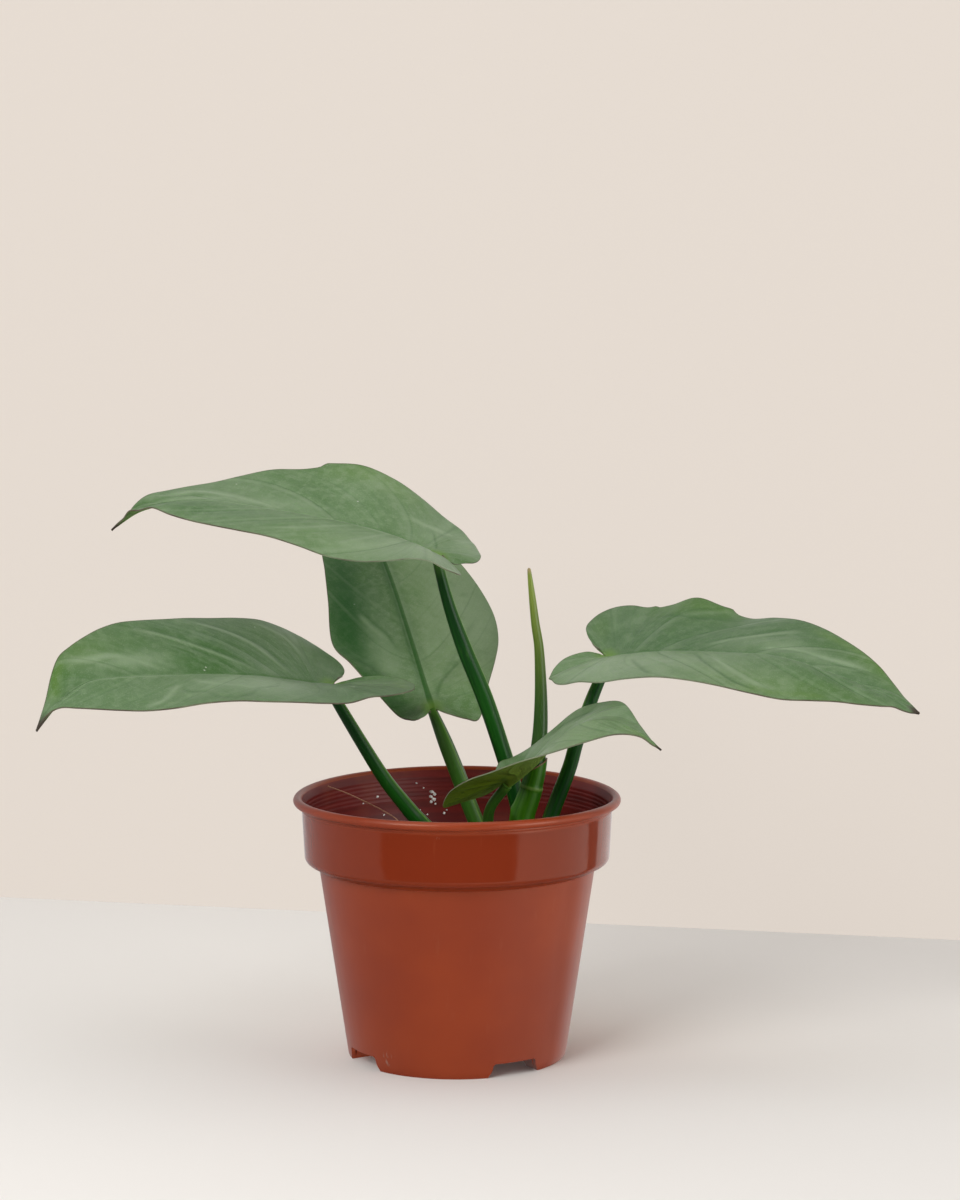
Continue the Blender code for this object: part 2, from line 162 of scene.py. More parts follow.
def smoothCurve(points, perSpan):
    # Points on the Catmull-Rom curve through the given ones.
    given = np.asarray(points, float)
    if given.ndim == 1:
        given = given[:, None]
    padded = np.vstack([2 * given[0] - given[1], given, 2 * given[-1] - given[-2]])
    found = []
    for first in range(len(given) - 1):
        a, b, c, d = padded[first:first + 4]
        for step in range(perSpan):
            t = step / perSpan
            square = (2 * a - 5 * b + 4 * c - d) * t**2
            cube = (3 * b - a - 3 * c + d) * t**3
            found.append(0.5 * (2 * b + (c - a) * t + square + cube))
    found.append(given[-1])
    return np.array(found)


def gridPiece(points):
    # A grid primitive whose points take the given places, rows along its X and columns along its Y.
    rows, columns = points.shape[:2]
    deselectAll()
    bpy.ops.mesh.primitive_grid_add(x_subdivisions=rows - 1, y_subdivisions=columns - 1, size=1.0)
    piece = bpy.context.object
    mesh = piece.data
    flat = np.empty(len(mesh.vertices) * 3, np.float32)
    mesh.vertices.foreach_get("co", flat)
    flat = flat.reshape(-1, 3)
    row = np.rint((flat[:, 0] + 0.5) * (rows - 1)).astype(int)
    column = np.rint((flat[:, 1] + 0.5) * (columns - 1)).astype(int)
    mesh.vertices.foreach_set("co", points[row, column].astype(np.float32).reshape(-1))
    mesh.update()
    return piece, row, column


def addAttribute(piece, name, values):
    layer = piece.data.attributes.new(name, "FLOAT", "POINT")
    layer.data.foreach_set("value", np.asarray(values, np.float32))


# Materials

class Wire:
    # One output of a node. Arithmetic on it adds Math nodes.
    def __init__(self, recipe, socket):
        self.recipe = recipe
        self.socket = socket

    def maths(self, operation, first, second):
        return self.recipe.add("ShaderNodeMath", {"operation": operation}, {0: first, 1: second})

    def __add__(self, other):
        return self.maths("ADD", self, other)

    def __radd__(self, other):
        return self.maths("ADD", other, self)

    def __sub__(self, other):
        return self.maths("SUBTRACT", self, other)

    def __rsub__(self, other):
        return self.maths("SUBTRACT", other, self)

    def __mul__(self, other):
        return self.maths("MULTIPLY", self, other)

    def __rmul__(self, other):
        return self.maths("MULTIPLY", other, self)

    def __truediv__(self, other):
        return self.maths("DIVIDE", self, other)


class Recipe:
    # A material being made, with its Principled shader.
    def __init__(self, name):
        self.material = bpy.data.materials.new(name)
        self.material.use_nodes = True
        self.tree = self.material.node_tree
        self.shader = self.tree.nodes["Principled BSDF"]

    def add(self, kind, settings=None, sockets=None, out=0):
        # Any node: its settings, the values or links of its sockets, and the output wanted.
        node = self.tree.nodes.new(kind)
        for name, value in (settings or {}).items():
            setattr(node, name, value)
        for name, value in (sockets or {}).items():
            self.connect(node.inputs[name], value)
        return Wire(self, node.outputs[out])

    def connect(self, socket, value):
        if isinstance(value, Wire):
            self.tree.links.new(value.socket, socket)
        elif isinstance(value, tuple) and len(value) == 3 and socket.type == "RGBA":
            socket.default_value = (*value, 1.0)
        else:
            socket.default_value = value

    def single(self, operation, value):
        return self.add("ShaderNodeMath", {"operation": operation}, {0: value})

    def place(self):
        return self.add("ShaderNodeTexCoord", out="Object")

    def axis(self, name):
        return self.add("ShaderNodeSeparateXYZ", sockets={0: self.place()}, out=name)

    def attribute(self, name):
        return self.add("ShaderNodeAttribute", {"attribute_name": name}, out="Fac")

    def noise(self, scale, detail=2.0, stretch=(1.0, 1.0, 1.0), vector=None):
        # Noise over the piece's own place, scale features a metre.
        spot = self.add("ShaderNodeMapping", sockets={0: vector or self.place(), "Scale": stretch})
        return self.add("ShaderNodeTexNoise", sockets={"Vector": spot, "Scale": scale, "Detail": detail})

    def between(self, value, low, high):
        # 0 under low, 1 over high, eased between.
        sockets = {"Value": value, "From Min": low, "From Max": high}
        return self.add("ShaderNodeMapRange", {"interpolation_type": "SMOOTHSTEP"}, sockets)

    def blend(self, mask, first, second):
        # The first colour where mask is 0 and the second where it is 1.
        return self.add("ShaderNodeMix", {"data_type": "RGBA"}, {0: mask, 6: first, 7: second}, out=2)

    def over(self, colour, *layers):
        # Lays each layer's colour over what is there, where its mask is 1.
        for mask, tone in layers:
            colour = self.blend(mask, colour, tone)
        return colour

    def lines(self, detail, first, second):
        # Noise that follows two measures of the piece, fine along the one that is larger.
        vector = self.add("ShaderNodeCombineXYZ", sockets={0: first, 1: second})
        return self.noise(1.0, detail, vector=vector)

    def nearestLine(self, phase, gap):
        # The distance to the nearest whole number of phase, where gap is the distance of one.
        return self.single("ABSOLUTE", self.single("FRACT", phase + 0.5) - 0.5) * gap

    def finish(self, height=None, **sockets):
        # height is in metres.
        for name, value in sockets.items():
            self.connect(self.shader.inputs[name.replace("_", " ")], value)
        if height is not None:
            bump = self.add("ShaderNodeBump", sockets={"Height": height, "Distance": 1.0})
            self.connect(self.shader.inputs["Normal"], bump)
        return self.material


class RoomRecipe(Recipe):
    # The same for the light of the room all round.
    def __init__(self, world):
        self.tree = world.node_tree


# Light that enters a leaf and scatters in it.
flesh = dict(Subsurface_Weight=0.1, Subsurface_Radius=(0.5, 1.0, 0.25), Subsurface_Scale=0.0012)

# Looks of one noise between two colours: its scale, detail and stretch, where the blend starts and ends,
# both colours, the relief in metres and the roughness.
even = (1.0, 1.0, 1.0)
grainLooks = dict(
    perliteLook=(900, 3, even, (0.4, 0.7), (0.92, 0.91, 0.88), (0.70, 0.68, 0.64), 0.0003, 0.9),
    barkLook=(
        500, 4, (1.0, 0.25, 1.0), (0.35, 0.7), (0.035, 0.018, 0.010), (0.12, 0.065, 0.035), 0.0004, 0.85),
    fibreLook=(700, 2, even, (0.3, 0.7), (0.52, 0.26, 0.16), (0.36, 0.16, 0.09), None, 0.7),
    buriedStem=(300, 3, even, (0.35, 0.7), (0.060, 0.130, 0.020), (0.090, 0.075, 0.030), 0.0003, 0.6),
)


def grainLook(name):
    scale, detail, stretch, (low, high), first, second, relief, roughness = grainLooks[name]
    recipe = Recipe(name)
    grain = recipe.noise(scale, detail, stretch)
    colour = recipe.blend(recipe.between(grain, low, high), first, second)
    return recipe.finish(grain * relief if relief else None, Base_Color=colour, Roughness=roughness)


# Blades

# Blade colours. pale is the leaf's paler mottling and also its painted sheen and painted highlights; deep is
# painted shade; rib darkens the midrib, side veins and creases as painted shade in their grooves; young is
# the leaf's yellow-green, in places painted light shining through the blade; edge is a pale cut edge, partly
# a painted highlight.
bladeLook = dict(
    silver=(0.112, 0.190, 0.082),
    pale=(0.225, 0.310, 0.185),
    green=(0.066, 0.146, 0.040),
    deep=(0.012, 0.070, 0.010),
    young=(0.110, 0.215, 0.028),
    rib=(0.022, 0.085, 0.014),
    under=(0.120, 0.190, 0.070),
    underYoung=(0.118, 0.185, 0.009),
    underDark=(0.030, 0.080, 0.012),
    margin=(0.075, 0.050, 0.032),
    # a pale cut edge, partly a painted highlight
    edge=(0.150, 0.150, 0.090),
    tip=(0.038, 0.026, 0.016),
    dust=(0.46, 0.50, 0.42),
    roughness=0.42,
    shine=0.34,
)


def bladeVeins(recipe):
    # Masks of the midrib, the side veins, the pale strip beside them and the fine veins between them. On the
    # upper face the midrib and side veins are darkened as painted shade in their grooves, and the strip
    # beside the side veins is a painted sheen.
    along = recipe.attribute("alongBlade")
    rib = 1 - recipe.between(recipe.attribute("ribBand"), 0.6, 1.1)
    phase = recipe.attribute("veinPhase")
    gap = recipe.attribute("veinGap")
    strength = recipe.attribute("veinStrength")
    side = (1 - recipe.between(recipe.nearestLine(phase, gap), 0.1, 1.1)) * strength
    beside = (1 - recipe.between(recipe.nearestLine(phase - 0.13, gap), 0.2, 3.2)) * strength
    fine = 1 - recipe.between(recipe.nearestLine(phase * 6, gap / 6), 0.05, 0.5)
    return along, rib, side, beside, fine


def bladeUpper(name, shine):
    recipe = Recipe(name)
    look = bladeLook
    along, rib, side, beside, fine = bladeVeins(recipe)
    patches = recipe.noise(24, 3)
    streaks = recipe.lines(2, recipe.attribute("veinPhase") * 7, recipe.attribute("ribDistance") * 0.07)
    grain = recipe.noise(1700, 2)
    mottle = recipe.noise(260, 3)
    clouds = recipe.noise(75, 3)
    nearMargin = 1 - recipe.between(recipe.attribute("marginDistance"), 0.15, 0.6)
    # Painted shade darkens a blade where shade falls, and the paler mottling is held back there.
    awayFromPaintedShade = 1 - recipe.attribute("paintedShadeTone") * 0.8
    # painted sheen beside the midrib's groove
    sheenBesideRib = (1 - recipe.between(recipe.attribute("ribBand"), 1.2, 3.4)) * (1 - rib)
    nearTip = recipe.between(along, 0.945, 0.985)
    base = 1 - recipe.between(recipe.attribute("attachDistance"), 0.5, 8.0)
    # Painted sheen: paler where the leaf catches the light.
    silver = recipe.attribute("paintedSheenTone")
    colour = recipe.over(
        look["silver"],
        (recipe.between(patches + streaks * 0.5, 0.56, 1.0), look["green"]),
        # The leaf's yellow-green, and in places painted light shining through the blade.
        (recipe.attribute("youngAndBacklitTone") * 0.8, look["young"]),
        # painted shade
        (recipe.attribute("paintedShadeTone"), look["deep"]),
        # painted sheen
        (silver * 0.8, look["pale"]),
        (recipe.between(clouds, 0.52, 0.74) * awayFromPaintedShade * 0.28, look["pale"]),
        ((1 - recipe.between(clouds, 0.30, 0.47)) * 0.32, look["green"]),
        (recipe.between(mottle, 0.44, 0.66) * awayFromPaintedShade * 0.24, look["pale"]),
        (recipe.between(grain, 0.5, 0.78) * awayFromPaintedShade * 0.15, look["dust"]),
        # Painted sheen beside the side veins and the midrib, and painted shade darkening the side veins and
        # the midrib in their grooves.
        (beside * 0.30, look["pale"]),
        (fine * 0.06, look["green"]),
        (side * 0.36, look["rib"]),
        (sheenBesideRib * 0.22, look["pale"]),
        (rib * 0.75, look["rib"]),
        (base * 0.85, look["young"]),
        (nearMargin * (1 - silver) * 0.6, look["margin"]),
        # Painted highlight along the raised ridges and painted shade in the pressed creases.
        (recipe.attribute("ridgeAndHighlightTone") * 0.8, look["pale"]),
        (recipe.attribute("creaseAndShadeTone") * 0.65, look["rib"]),
        (dustSpecks(recipe) * 0.8, look["dust"]),
        (nearTip, look["tip"]),
    )
    height = (grain * 0.6 + mottle * 2.2 + clouds * 3.0 - fine * 0.6 + streaks * 1.6) * 0.00005
    rough = look["roughness"] + (mottle - 0.5) * 0.25
    return recipe.finish(height, Base_Color=colour, Roughness=rough, Specular_IOR_Level=shine, **flesh)


def dustSpecks(recipe):
    # Few small white specks: the middles of some cells.
    cells = recipe.add("ShaderNodeTexVoronoi", sockets={"Vector": recipe.place(), "Scale": 170.0})
    chosen = recipe.between(recipe.noise(60, 1), 0.66, 0.70)
    return (1 - recipe.between(cells, 0.04, 0.11)) * chosen


def bladeUnder():
    recipe = Recipe("bladeUnder")
    look = bladeLook
    along, rib, side, _, fine = bladeVeins(recipe)
    patches = recipe.noise(40, 3)
    # the leaf's yellow-green, in places painted light shining through the blade
    young = recipe.attribute("youngAndBacklitTone")
    colour = recipe.over(
        look["under"],
        (young, look["underYoung"]),
        (recipe.between(patches, 0.42, 0.75) * 0.4, look["underDark"]),
        (recipe.between(recipe.noise(420, 2), 0.62, 0.68) * young * 0.5, look["underDark"]),
        (side * 0.4 + fine * 0.08, look["young"]),
        (rib * 0.7, look["young"]),
        # painted shade on the lower face
        (recipe.attribute("paintedShadeTone"), look["underDark"]),
        # painted shade in the creases
        (recipe.attribute("creaseAndShadeTone"), look["rib"]),
        (recipe.between(along, 0.945, 0.985), look["tip"]),
    )
    height = (side * 3.0 + fine + recipe.noise(1200, 2)) * 0.00006
    return recipe.finish(height, Base_Color=colour, Roughness=0.58, Specular_IOR_Level=0.14, **flesh)


def bladeEdge():
    recipe = Recipe("bladeEdge")
    look = bladeLook
    # The cut edge is pale, partly as a painted highlight where it catches the light, with the margin's own
    # brown in patches.
    colour = recipe.over(
        look["edge"],
        (recipe.between(recipe.noise(90, 2), 0.35, 0.65), look["margin"]),
        # painted sheen and highlight along the lit edge
        (recipe.attribute("paintedSheenTone"), look["pale"]),
        (recipe.between(recipe.attribute("alongBlade"), 0.93, 0.98), look["tip"]),
    )
    return recipe.finish(Base_Color=colour, Roughness=0.5)


# Half a blade's outline from the petiole round the lobe to the tip: places along the blade, in lobe
# lengths behind the petiole and blade lengths before it, and across it, in half widths. The roots are
# where the vein to each outline point leaves the midrib.
bladeForm = dict(
    outline=[
        (-0.10, 0.02), (-0.45, 0.14), (-0.90, 0.36), (-1.00, 0.60), (-0.70, 0.82), (-0.20, 0.95),
        (0.10, 1.00), (0.28, 0.97), (0.46, 0.86), (0.64, 0.67), (0.79, 0.43), (0.90, 0.21),
        (0.96, 0.085), (1.00, 0.015),
    ],
    roots=[0.0, 0.004, 0.010, 0.018, 0.030, 0.050, 0.085, 0.17, 0.31, 0.48, 0.66, 0.82, 0.92, 1.0],
    rowsPerSpan=18,
    halfColumns=44,
    midribSteps=12,
    risePower=1.2,
    archShape=4.0,
    foldSpread=0.07,
    fullWidth=40.0,
    thick=0.55,
    ribDepth=2.9,
    ribWidth=1.7,
    ribTaper=1.5,
    groove=(0.45, 1.1),
    veinDepth=0.50,
    veinWidth=1.2,
    veinSweep=1.15,
    pillow=0.50,
    ripple=0.18,
    creaseDepth=0.32,
    ridgeHeight=0.22,
)

# Each blade starts at attach and points along heading, in degrees from +X towards +Y. Its front half is
# the one nearer to -Y, and pairs are front and back. midrib, front and back hold heights over attach:
# the midrib's at even steps, and the margins' at the outline's points or also halfway between them.
# Most heights were worked out in separate programs, so that the margins and midribs lie on the lines that
# they have in the photograph, and strokes follow marks in it that were turned into places on the leaf.
# A paint is a soft spot of a tone: the outline point and share of the half's width that it is at, its
# spreads in both and its strength. A stroke is a line of a tone: its width in mm, strength and places.
# Most tones paint light: silver is painted sheen, deep is painted shade that also darkens a whole blade's
# tone where it spreads wide, young is the leaf's yellow-green with painted light shining through it in
# places, a crease gets painted shade and a ridge a painted highlight. Creases are also pressed in and
# ridges raised. A fold lifts the margin suddenly at one place and lets it down again towards the lobe:
# the place, how far it runs and its height. The stalk's top is seat mm ahead.
blades = {
    "upper_left": dict(
        attach=(-8.0, -5.0, 230.0), heading=170.0, length=154.0, lobe=(13.6, 15.0), width=(39.0, 40.0),
        midrib=[0, 6.2, 10.9, 13.8, 16.3, 18.4, 20.3, 22.2, 23.9, 23.6, 22.2, 18.5, 10],
        front=[0, -1.1, -2.4, -4.4, -6.2, -6.5, -6.1, -4.8, -3.2, -1.4, 1, 2.1, 1.1, 0.6, 2.5, 6.9, 10.6,
               12.8, 14.7, 16.5, 18.8, 21.4, 19.8, 19.3, 15.1, 12.7, 10.1],
        back=[0.5, -2.6, -4.2, -4, -4.1, -3.5, -2, -0.4, 2.6, 4.8, 9.3, 14.7, 23.2, 32.2, 38.2, 38.7, 37.0,
              36.8, 34.1, 31.2, 29.4, 27.6, 25.9, 21.9, 16.6, 13.4, 10.1],
        seat=1.2, arch=(2.0, 1.5), folds=dict(back=[(7.62, 0.5, 1.3)]),
        paints=dict(
            front=[
                ("silver", 5.5, 0.6, 2.0, 0.5, 0.7), ("young", 7.2, 0.7, 1.2, 0.3, 0.25),
                ("deep", 9.6, 0.55, 1.4, 0.25, 0.30),
            ],
            back=[
                ("young", 6.9, 0.9, 0.9, 0.2, 0.5), ("silver", 10.2, 0.2, 2.0, 0.12, 0.7),
                ("silver", 4.0, 0.8, 1.2, 0.3, 0.6), ("silver", 5.4, 0.3, 1.4, 0.3, 0.35),
            ],
        ),
        strokes=dict(
            front=[
                ("ridge", 0.8, 0.9, [(11.3, 0.03), (10.2, 0.03), (9.2, 0.03), (8.2, 0.03), (7.4, 0.03)]),
                ("silver", 1.6, 0.8, [(7.8, 0.06), (6.9, 0.07), (6, 0.08), (4.8, 0.1)]),
                ("ridge", 1.1, 0.6, [(8.33, 0.84), (7.83, 0.63), (7.6, 0.33), (7.5, 0.12)]),
                ("ridge", 1.1, 0.5, [(7.11, 0.80), (6.83, 0.42), (6.7, 0.08)]),
                ("silver", 0.8, 1.0,
                 [(8.0, 0.985), (7, 0.985), (6, 0.985), (5, 0.985), (4, 0.97), (3, 0.95)]),
            ],
            back=[
                ("crease", 0.55, 0.9, [(7.9, 0.01), (7, 0.01), (6.2, 0.01), (5, 0.01)]),
                ("silver", 2.2, 0.9, [(11.0, 0.62), (10.2, 0.62), (9.7, 0.45), (9.3, 0.2), (8.8, 0.05)]),
                ("crease", 0.7, 0.45, [(8.39, 0.75), (8.1, 0.45), (7.89, 0.23), (7.56, 0.09)]),
                ("crease", 0.7, 0.35, [(7.39, 0.84), (6.94, 0.50), (6.44, 0.14)]),
                ("silver", 2.4, 0.8, [(6.3, 0.45), (5.6, 0.5), (4.6, 0.72)]),
                ("crease", 0.6, 0.8, [(5.39, 0.45), (4.9, 0.3), (3.89, 0.12)]),
                ("crease", 0.7, 0.6, [(7.95, 0.985), (7.6, 0.985), (7.3, 0.98)]),
            ],
        ),
    ),
    "lower_left": dict(
        attach=(-57.0, -5.0, 171.0), heading=215.0, length=148.0, lobe=(29.6, 17.6), width=(39.0, 39.0),
        midrib=[0, 2.4, 4.9, 7.1, 8.4, 9.5, 10.3, 10.9, 11.5, 11.6, 10.5, 3.8, -8.5],
        front=[-0.5, 2.2, 3.5, 3.9, 3, 1.5, 0.4, -0.7, -0.8, -1, -1.1, -0.8, -2.4, -1.6, -0.2, 0.9, 2, 1.7,
               0.1, -0.7, -0.2, 0.5, 1, 1.3, -0.1, -3.3, -8.3],
        back=[1, 2.5, 2.9, 2.7, 4.2, 5.9, 8, 10.7, 13.9, 16.7, 19.9, 23.9, 27.5, 29.2, 30, 31, 31.5, 32.1,
              32.2, 30.6, 27.8, 24.7, 21.1, 13, 3, -3.4, -8.5],
        seat=1.2, arch=(1.0, 3.0), veins=0.5,
        paints=dict(
            front=[
                ("silver", 7.6, 0.35, 1.4, 0.4, 0.9), ("silver", 3.0, 0.5, 1.6, 0.5, 0.5),
                ("deep", 9.9, 0.4, 0.8, 0.3, 0.3), ("deep", 7.5, 0.5, 9.0, 2.0, 0.26),
            ],
            back=[
                ("young", 10.6, 0.8, 1.0, 0.35, 0.6), ("silver", 9.8, 0.35, 0.7, 0.15, 0.8),
                ("deep", 7.6, 0.60, 1.4, 0.35, 0.42), ("deep", 9.2, 0.6, 1.2, 0.4, 0.2),
                ("young", 5.4, 0.7, 1.2, 0.3, 0.35), ("deep", 7.5, 0.5, 9.0, 2.0, 0.36),
            ],
        ),
        strokes=dict(
            front=[
                ("ridge", 0.8, 0.8, [(11.4, 0.03), (10.4, 0.03), (9.4, 0.03), (8.4, 0.03), (7.4, 0.03)]),
                ("ridge", 1.2, 0.8, [(9.56, 0.92), (9.28, 0.8), (9.17, 0.5), (9.1, 0.38)]),
                ("crease", 0.7, 0.8, [(9.15, 0.38), (8.89, 0.62), (8.6, 0.66), (8.39, 0.84), (8.2, 0.92)]),
                ("silver", 3.2, 0.9, [(9.1, 0.2), (8.6, 0.4), (8.2, 0.5), (7.7, 0.6), (7.2, 0.5)]),
                ("crease", 0.7, 0.6, [(8.22, 0.92), (7.83, 0.84), (7.67, 0.62), (7.3, 0.5), (7.2, 0.3)]),
                ("silver", 1.6, 0.7, [(5.7, 0.55), (5.0, 0.5), (4.2, 0.4), (3.4, 0.5)]),
                ("young", 3.0, 0.8, [(3.6, 0.93), (3.1, 0.8), (2.8, 0.9)]),
            ],
            back=[
                ("crease", 0.6, 0.8, [(8.6, 0.01), (7.6, 0.01), (6.6, 0.01), (5.6, 0.01), (4.3, 0.01)]),
                ("ridge", 1.1, 0.8, [(9.0, 0.87), (8.61, 0.71), (8.28, 0.5), (8.0, 0.33), (7.6, 0.1)]),
                ("crease", 0.8, 0.55, [(8.85, 0.9), (8.45, 0.73), (8.12, 0.52), (7.84, 0.35), (7.45, 0.1)]),
                ("ridge", 1.1, 0.9, [(7.61, 0.92), (7.22, 0.77), (6.94, 0.6), (6.78, 0.45), (6.6, 0.1)]),
                ("crease", 0.9, 0.75, [(7.45, 0.93), (7.05, 0.77), (6.76, 0.6), (6.58, 0.45), (6.4, 0.1)]),
                ("ridge", 1.1, 0.7, [(6.33, 0.92), (5.94, 0.8), (5.61, 0.68), (5.3, 0.4)]),
                ("silver", 2.2, 0.9, [(11.06, 0.8), (10.56, 0.6), (10.0, 0.50), (9.67, 0.33), (9.4, 0.1)]),
                ("young", 3.0, 0.9, [(12.0, 0.5), (11.5, 0.8), (10.9, 0.93)]),
            ],
        ),
    ),
    "rear": dict(
        attach=(-11.5, 15.0, 158.0), heading=109.5, length=122.0,
        midrib=[0, 19, 37, 54, 68, 78, 80],
        outlines=(
            [(-0.8, 0.8), (-3, 4.5), (-5, 8.5), (-4.5, 12), (1, 17), (11, 25), (24, 32),
             (41, 36), (61, 32), (80, 28), (98, 24), (111, 15), (118, 6), (122, 0.6)],
            [(-1, 0.8), (-5, 5.5), (-8, 13.7), (-6, 21.2), (1, 27.6), (10, 34.3), (24, 41),
             (40, 44.5), (58, 43.5), (76, 39.5), (94, 34), (109, 20), (117, 8), (122, 0.6)],
        ),
        front=[-0.5, -3.3, -4.3, -4.5, -2.5, 8.4, 19.3, 27.3, 45.4, 58.2, 67.8, 74.9, 79.5, 80],
        back=[-0.5, -2, -4.5, -4.9, 8.6, 19.6, 28.4, 37.8, 49.1, 60.3, 69.9, 76.4, 79.6, 80],
        # The rear blade's darkened midrib band is wider: painted shade in its deep groove.
        seat=1.2, arch=(-1.0, -1.0), ribBand=1.7, groove=(0.8, 2.2), veins=0.5, shine=0.13,
        paints=dict(
            front=[
                ("deep", 8.0, 0.75, 3.2, 0.45, 1.0), ("deep", 5.0, 0.85, 1.6, 0.4, 0.9),
                ("silver", 6.6, 0.35, 1.3, 0.22, 0.8),
            ],
            back=[
                ("silver", 7.6, 0.3, 1.8, 0.25, 0.7), ("young", 7.4, 0.7, 3.2, 0.55, 0.6),
                ("silver", 7.6, 0.75, 3.2, 0.6, 1.0),
            ],
        ),
        strokes=dict(
            front=[
                ("crease", 0.8, 0.9, [(10.5, 0.05), (9.5, 0.06), (8.5, 0.06), (7.5, 0.06), (6, 0.05)]),
                ("deep", 3.4, 0.6, [(10.5, 0.02), (9.5, 0.02), (8, 0.02), (6.5, 0.02), (4, 0.02)]),
                ("ridge", 1.4, 0.5, [(7.94, 0.62), (7.7, 0.48), (7.5, 0.3)]),
                ("crease", 0.9, 0.7, [(8.1, 0.58), (7.86, 0.45), (7.66, 0.3), (7.3, 0.2)]),
            ],
            back=[
                ("deep", 3.2, 0.4, [(10.5, 0.06), (9.5, 0.06), (8, 0.04), (6.5, 0.03)]),
                ("silver", 3.2, 0.7, [(8.4, 0.5), (8.0, 0.35), (7.5, 0.2), (6.8, 0.12)]),
                ("crease", 1.3, 0.35, [(7.3, 0.8), (7.0, 0.62), (6.5, 0.4), (6.0, 0.2)]),
                ("crease", 1.1, 0.7, [(6.44, 0.55), (6.11, 0.34), (5.6, 0.19), (4.2, 0.1)]),
                ("silver", 2.0, 0.5, [(6.9, 0.5), (6.5, 0.34), (6.0, 0.15)]),
            ],
        ),
    ),
    "right": dict(
        attach=(68.0, -5.0, 184.0), heading=-28.0, length=149.0, lobe=(17.4, 19.1), width=(38.7, 39.0),
        midrib=[0, 2.3, 4.0, 4.9, 5.3, 5.5, 5.6, 4.4, 1.7, -1.9, -5.8, -10.2, -16],
        front=[0.5, 2, 2.5, 1.4, -0.9, -4.2, -7.8, -7.7, -7.5, -8.6, -8.4, -6.6, -6.2, -3.8, -2.3, -3,
               -4.9, -7.7, -10.2, -10.6, -11, -12.2, -12.9, -13.3, -15, -16, -16.1],
        back=[1, 3.3, 4.2, 6.3, 9.9, 11.7, 13.6, 16.4, 18.5, 19.6, 19.9, 18.8, 20.9, 24.6, 20.4, 17.0,
              18.2, 18, 15.1, 10.9, 6.4, 1.2, -4.8, -9.2, -11.9, -14, -16],
        seat=1.2, arch=(1.5, 2.0), folds=dict(back=[(7.15, 0.5, 1.6), (5.62, 0.3, 1.0)]),
        paints=dict(
            front=[
                ("silver", 5.5, 0.55, 2.3, 0.7, 0.9), ("young", 9.4, 0.8, 1.6, 0.3, 0.5),
                ("deep", 11.0, 0.5, 2.5, 1.5, 0.35),
            ],
            back=[
                ("young", 6.4, 0.95, 0.9, 0.3, 0.9), ("young", 10.4, 0.85, 0.9, 0.3, 0.6),
                ("deep", 4.2, 0.3, 1.8, 0.4, 0.6), ("silver", 9.3, 0.3, 1.0, 0.2, 0.7),
                ("young", 3.2, 0.7, 0.8, 0.3, 0.4), ("deep", 7.4, 0.45, 0.9, 0.3, 0.45),
                ("deep", 5.4, 0.5, 1.5, 0.4, 0.35), ("deep", 6.5, 0.5, 6.0, 1.5, 0.50),
                ("deep", 9.9, 0.35, 0.7, 0.2, 0.3),
            ],
        ),
        strokes=dict(
            front=[
                ("ridge", 0.7, 0.8, [(4.5, 0.02), (6.5, 0.02), (8, 0.02), (9.5, 0.02), (11, 0.03)]),
                ("crease", 0.9, 0.8, [(6.39, 0.4), (6.7, 0.75), (6.89, 0.93)]),
                ("crease", 0.9, 1.0, [(7.83, 0.11), (7.94, 0.5), (8.28, 0.82), (8.67, 0.93)]),
                ("silver", 1.8, 0.8, [(8.1, 0.11), (8.3, 0.5), (8.6, 0.75), (9, 0.85)]),
                ("young", 2.6, 0.8, [(8.2, 0.93), (8.72, 0.9), (9.3, 0.9), (10, 0.93)]),
            ],
            back=[
                ("crease", 0.6, 0.8, [(4.5, 0.01), (6.5, 0.01), (8, 0.01), (9.2, 0.01)]),
                ("crease", 1.0, 0.8, [(5.83, 0.72), (6.61, 0.66), (7.0, 0.71), (7.44, 0.84)]),
                ("young", 3.4, 1.0, [(6.0, 0.9), (6.5, 0.86), (6.9, 0.93), (7.3, 0.97)]),
                ("crease", 0.8, 0.6, [(7.22, 0.12), (7.33, 0.35), (7.5, 0.71)]),
                ("crease", 0.8, 0.7, [(7.72, 0.15), (8.06, 0.35), (8.39, 0.5), (8.67, 0.77), (8.78, 0.94)]),
                ("silver", 1.3, 0.8, [(7.9, 0.15), (8.2, 0.33), (8.55, 0.5), (8.85, 0.75)]),
                ("silver", 1.8, 1.0, [(8.83, 0.12), (9.28, 0.27), (9.94, 0.35), (10.61, 0.7)]),
                ("crease", 0.8, 0.5, [(9.1, 0.1), (9.5, 0.25), (10.2, 0.35), (10.9, 0.7)]),
                ("young", 3.0, 0.9, [(8.9, 0.9), (9.4, 0.9), (10.2, 0.95), (11, 0.95)]),
            ],
        ),
    ),
    "front_small": dict(
        attach=(22.0, -28.0, 130.0), heading=-38.0, length=84.0, lobe=(25.5, 14.0), width=(22.0, 22.0),
        midrib=[0, 10, 22, 31, 33.5, 30.5, 23],
        front=[-1.5, -7, -11, -11.5, -3.5, 3.5, 8.5, 14.5, 19.5, 25, 29, 28.5, 25, 23],
        back=[1, 0.5, 0, 6, 8.5, 13, 21.5, 32.5, 37.5, 39, 31, 26, 24, 23],
        seat=1.0, arch=(0.0, 0.0),
        paints=dict(
            front=[
                ("silver", 7.0, 0.5, 3.0, 0.6, 0.9), ("young", 11.5, 0.6, 1.2, 0.5, 0.6),
                ("young", 4.0, 0.5, 4.5, 1.5, 1.0),
            ],
            back=[
                ("silver", 8.0, 0.5, 3.0, 0.6, 0.85),
            ],
        ),
        strokes=dict(
            front=[
                ("deep", 1.6, 0.6, [(2.4, 0.35), (3.2, 0.2), (4.2, 0.1), (4.8, 0.2), (5.6, 0.3)]),
            ],
            back=[
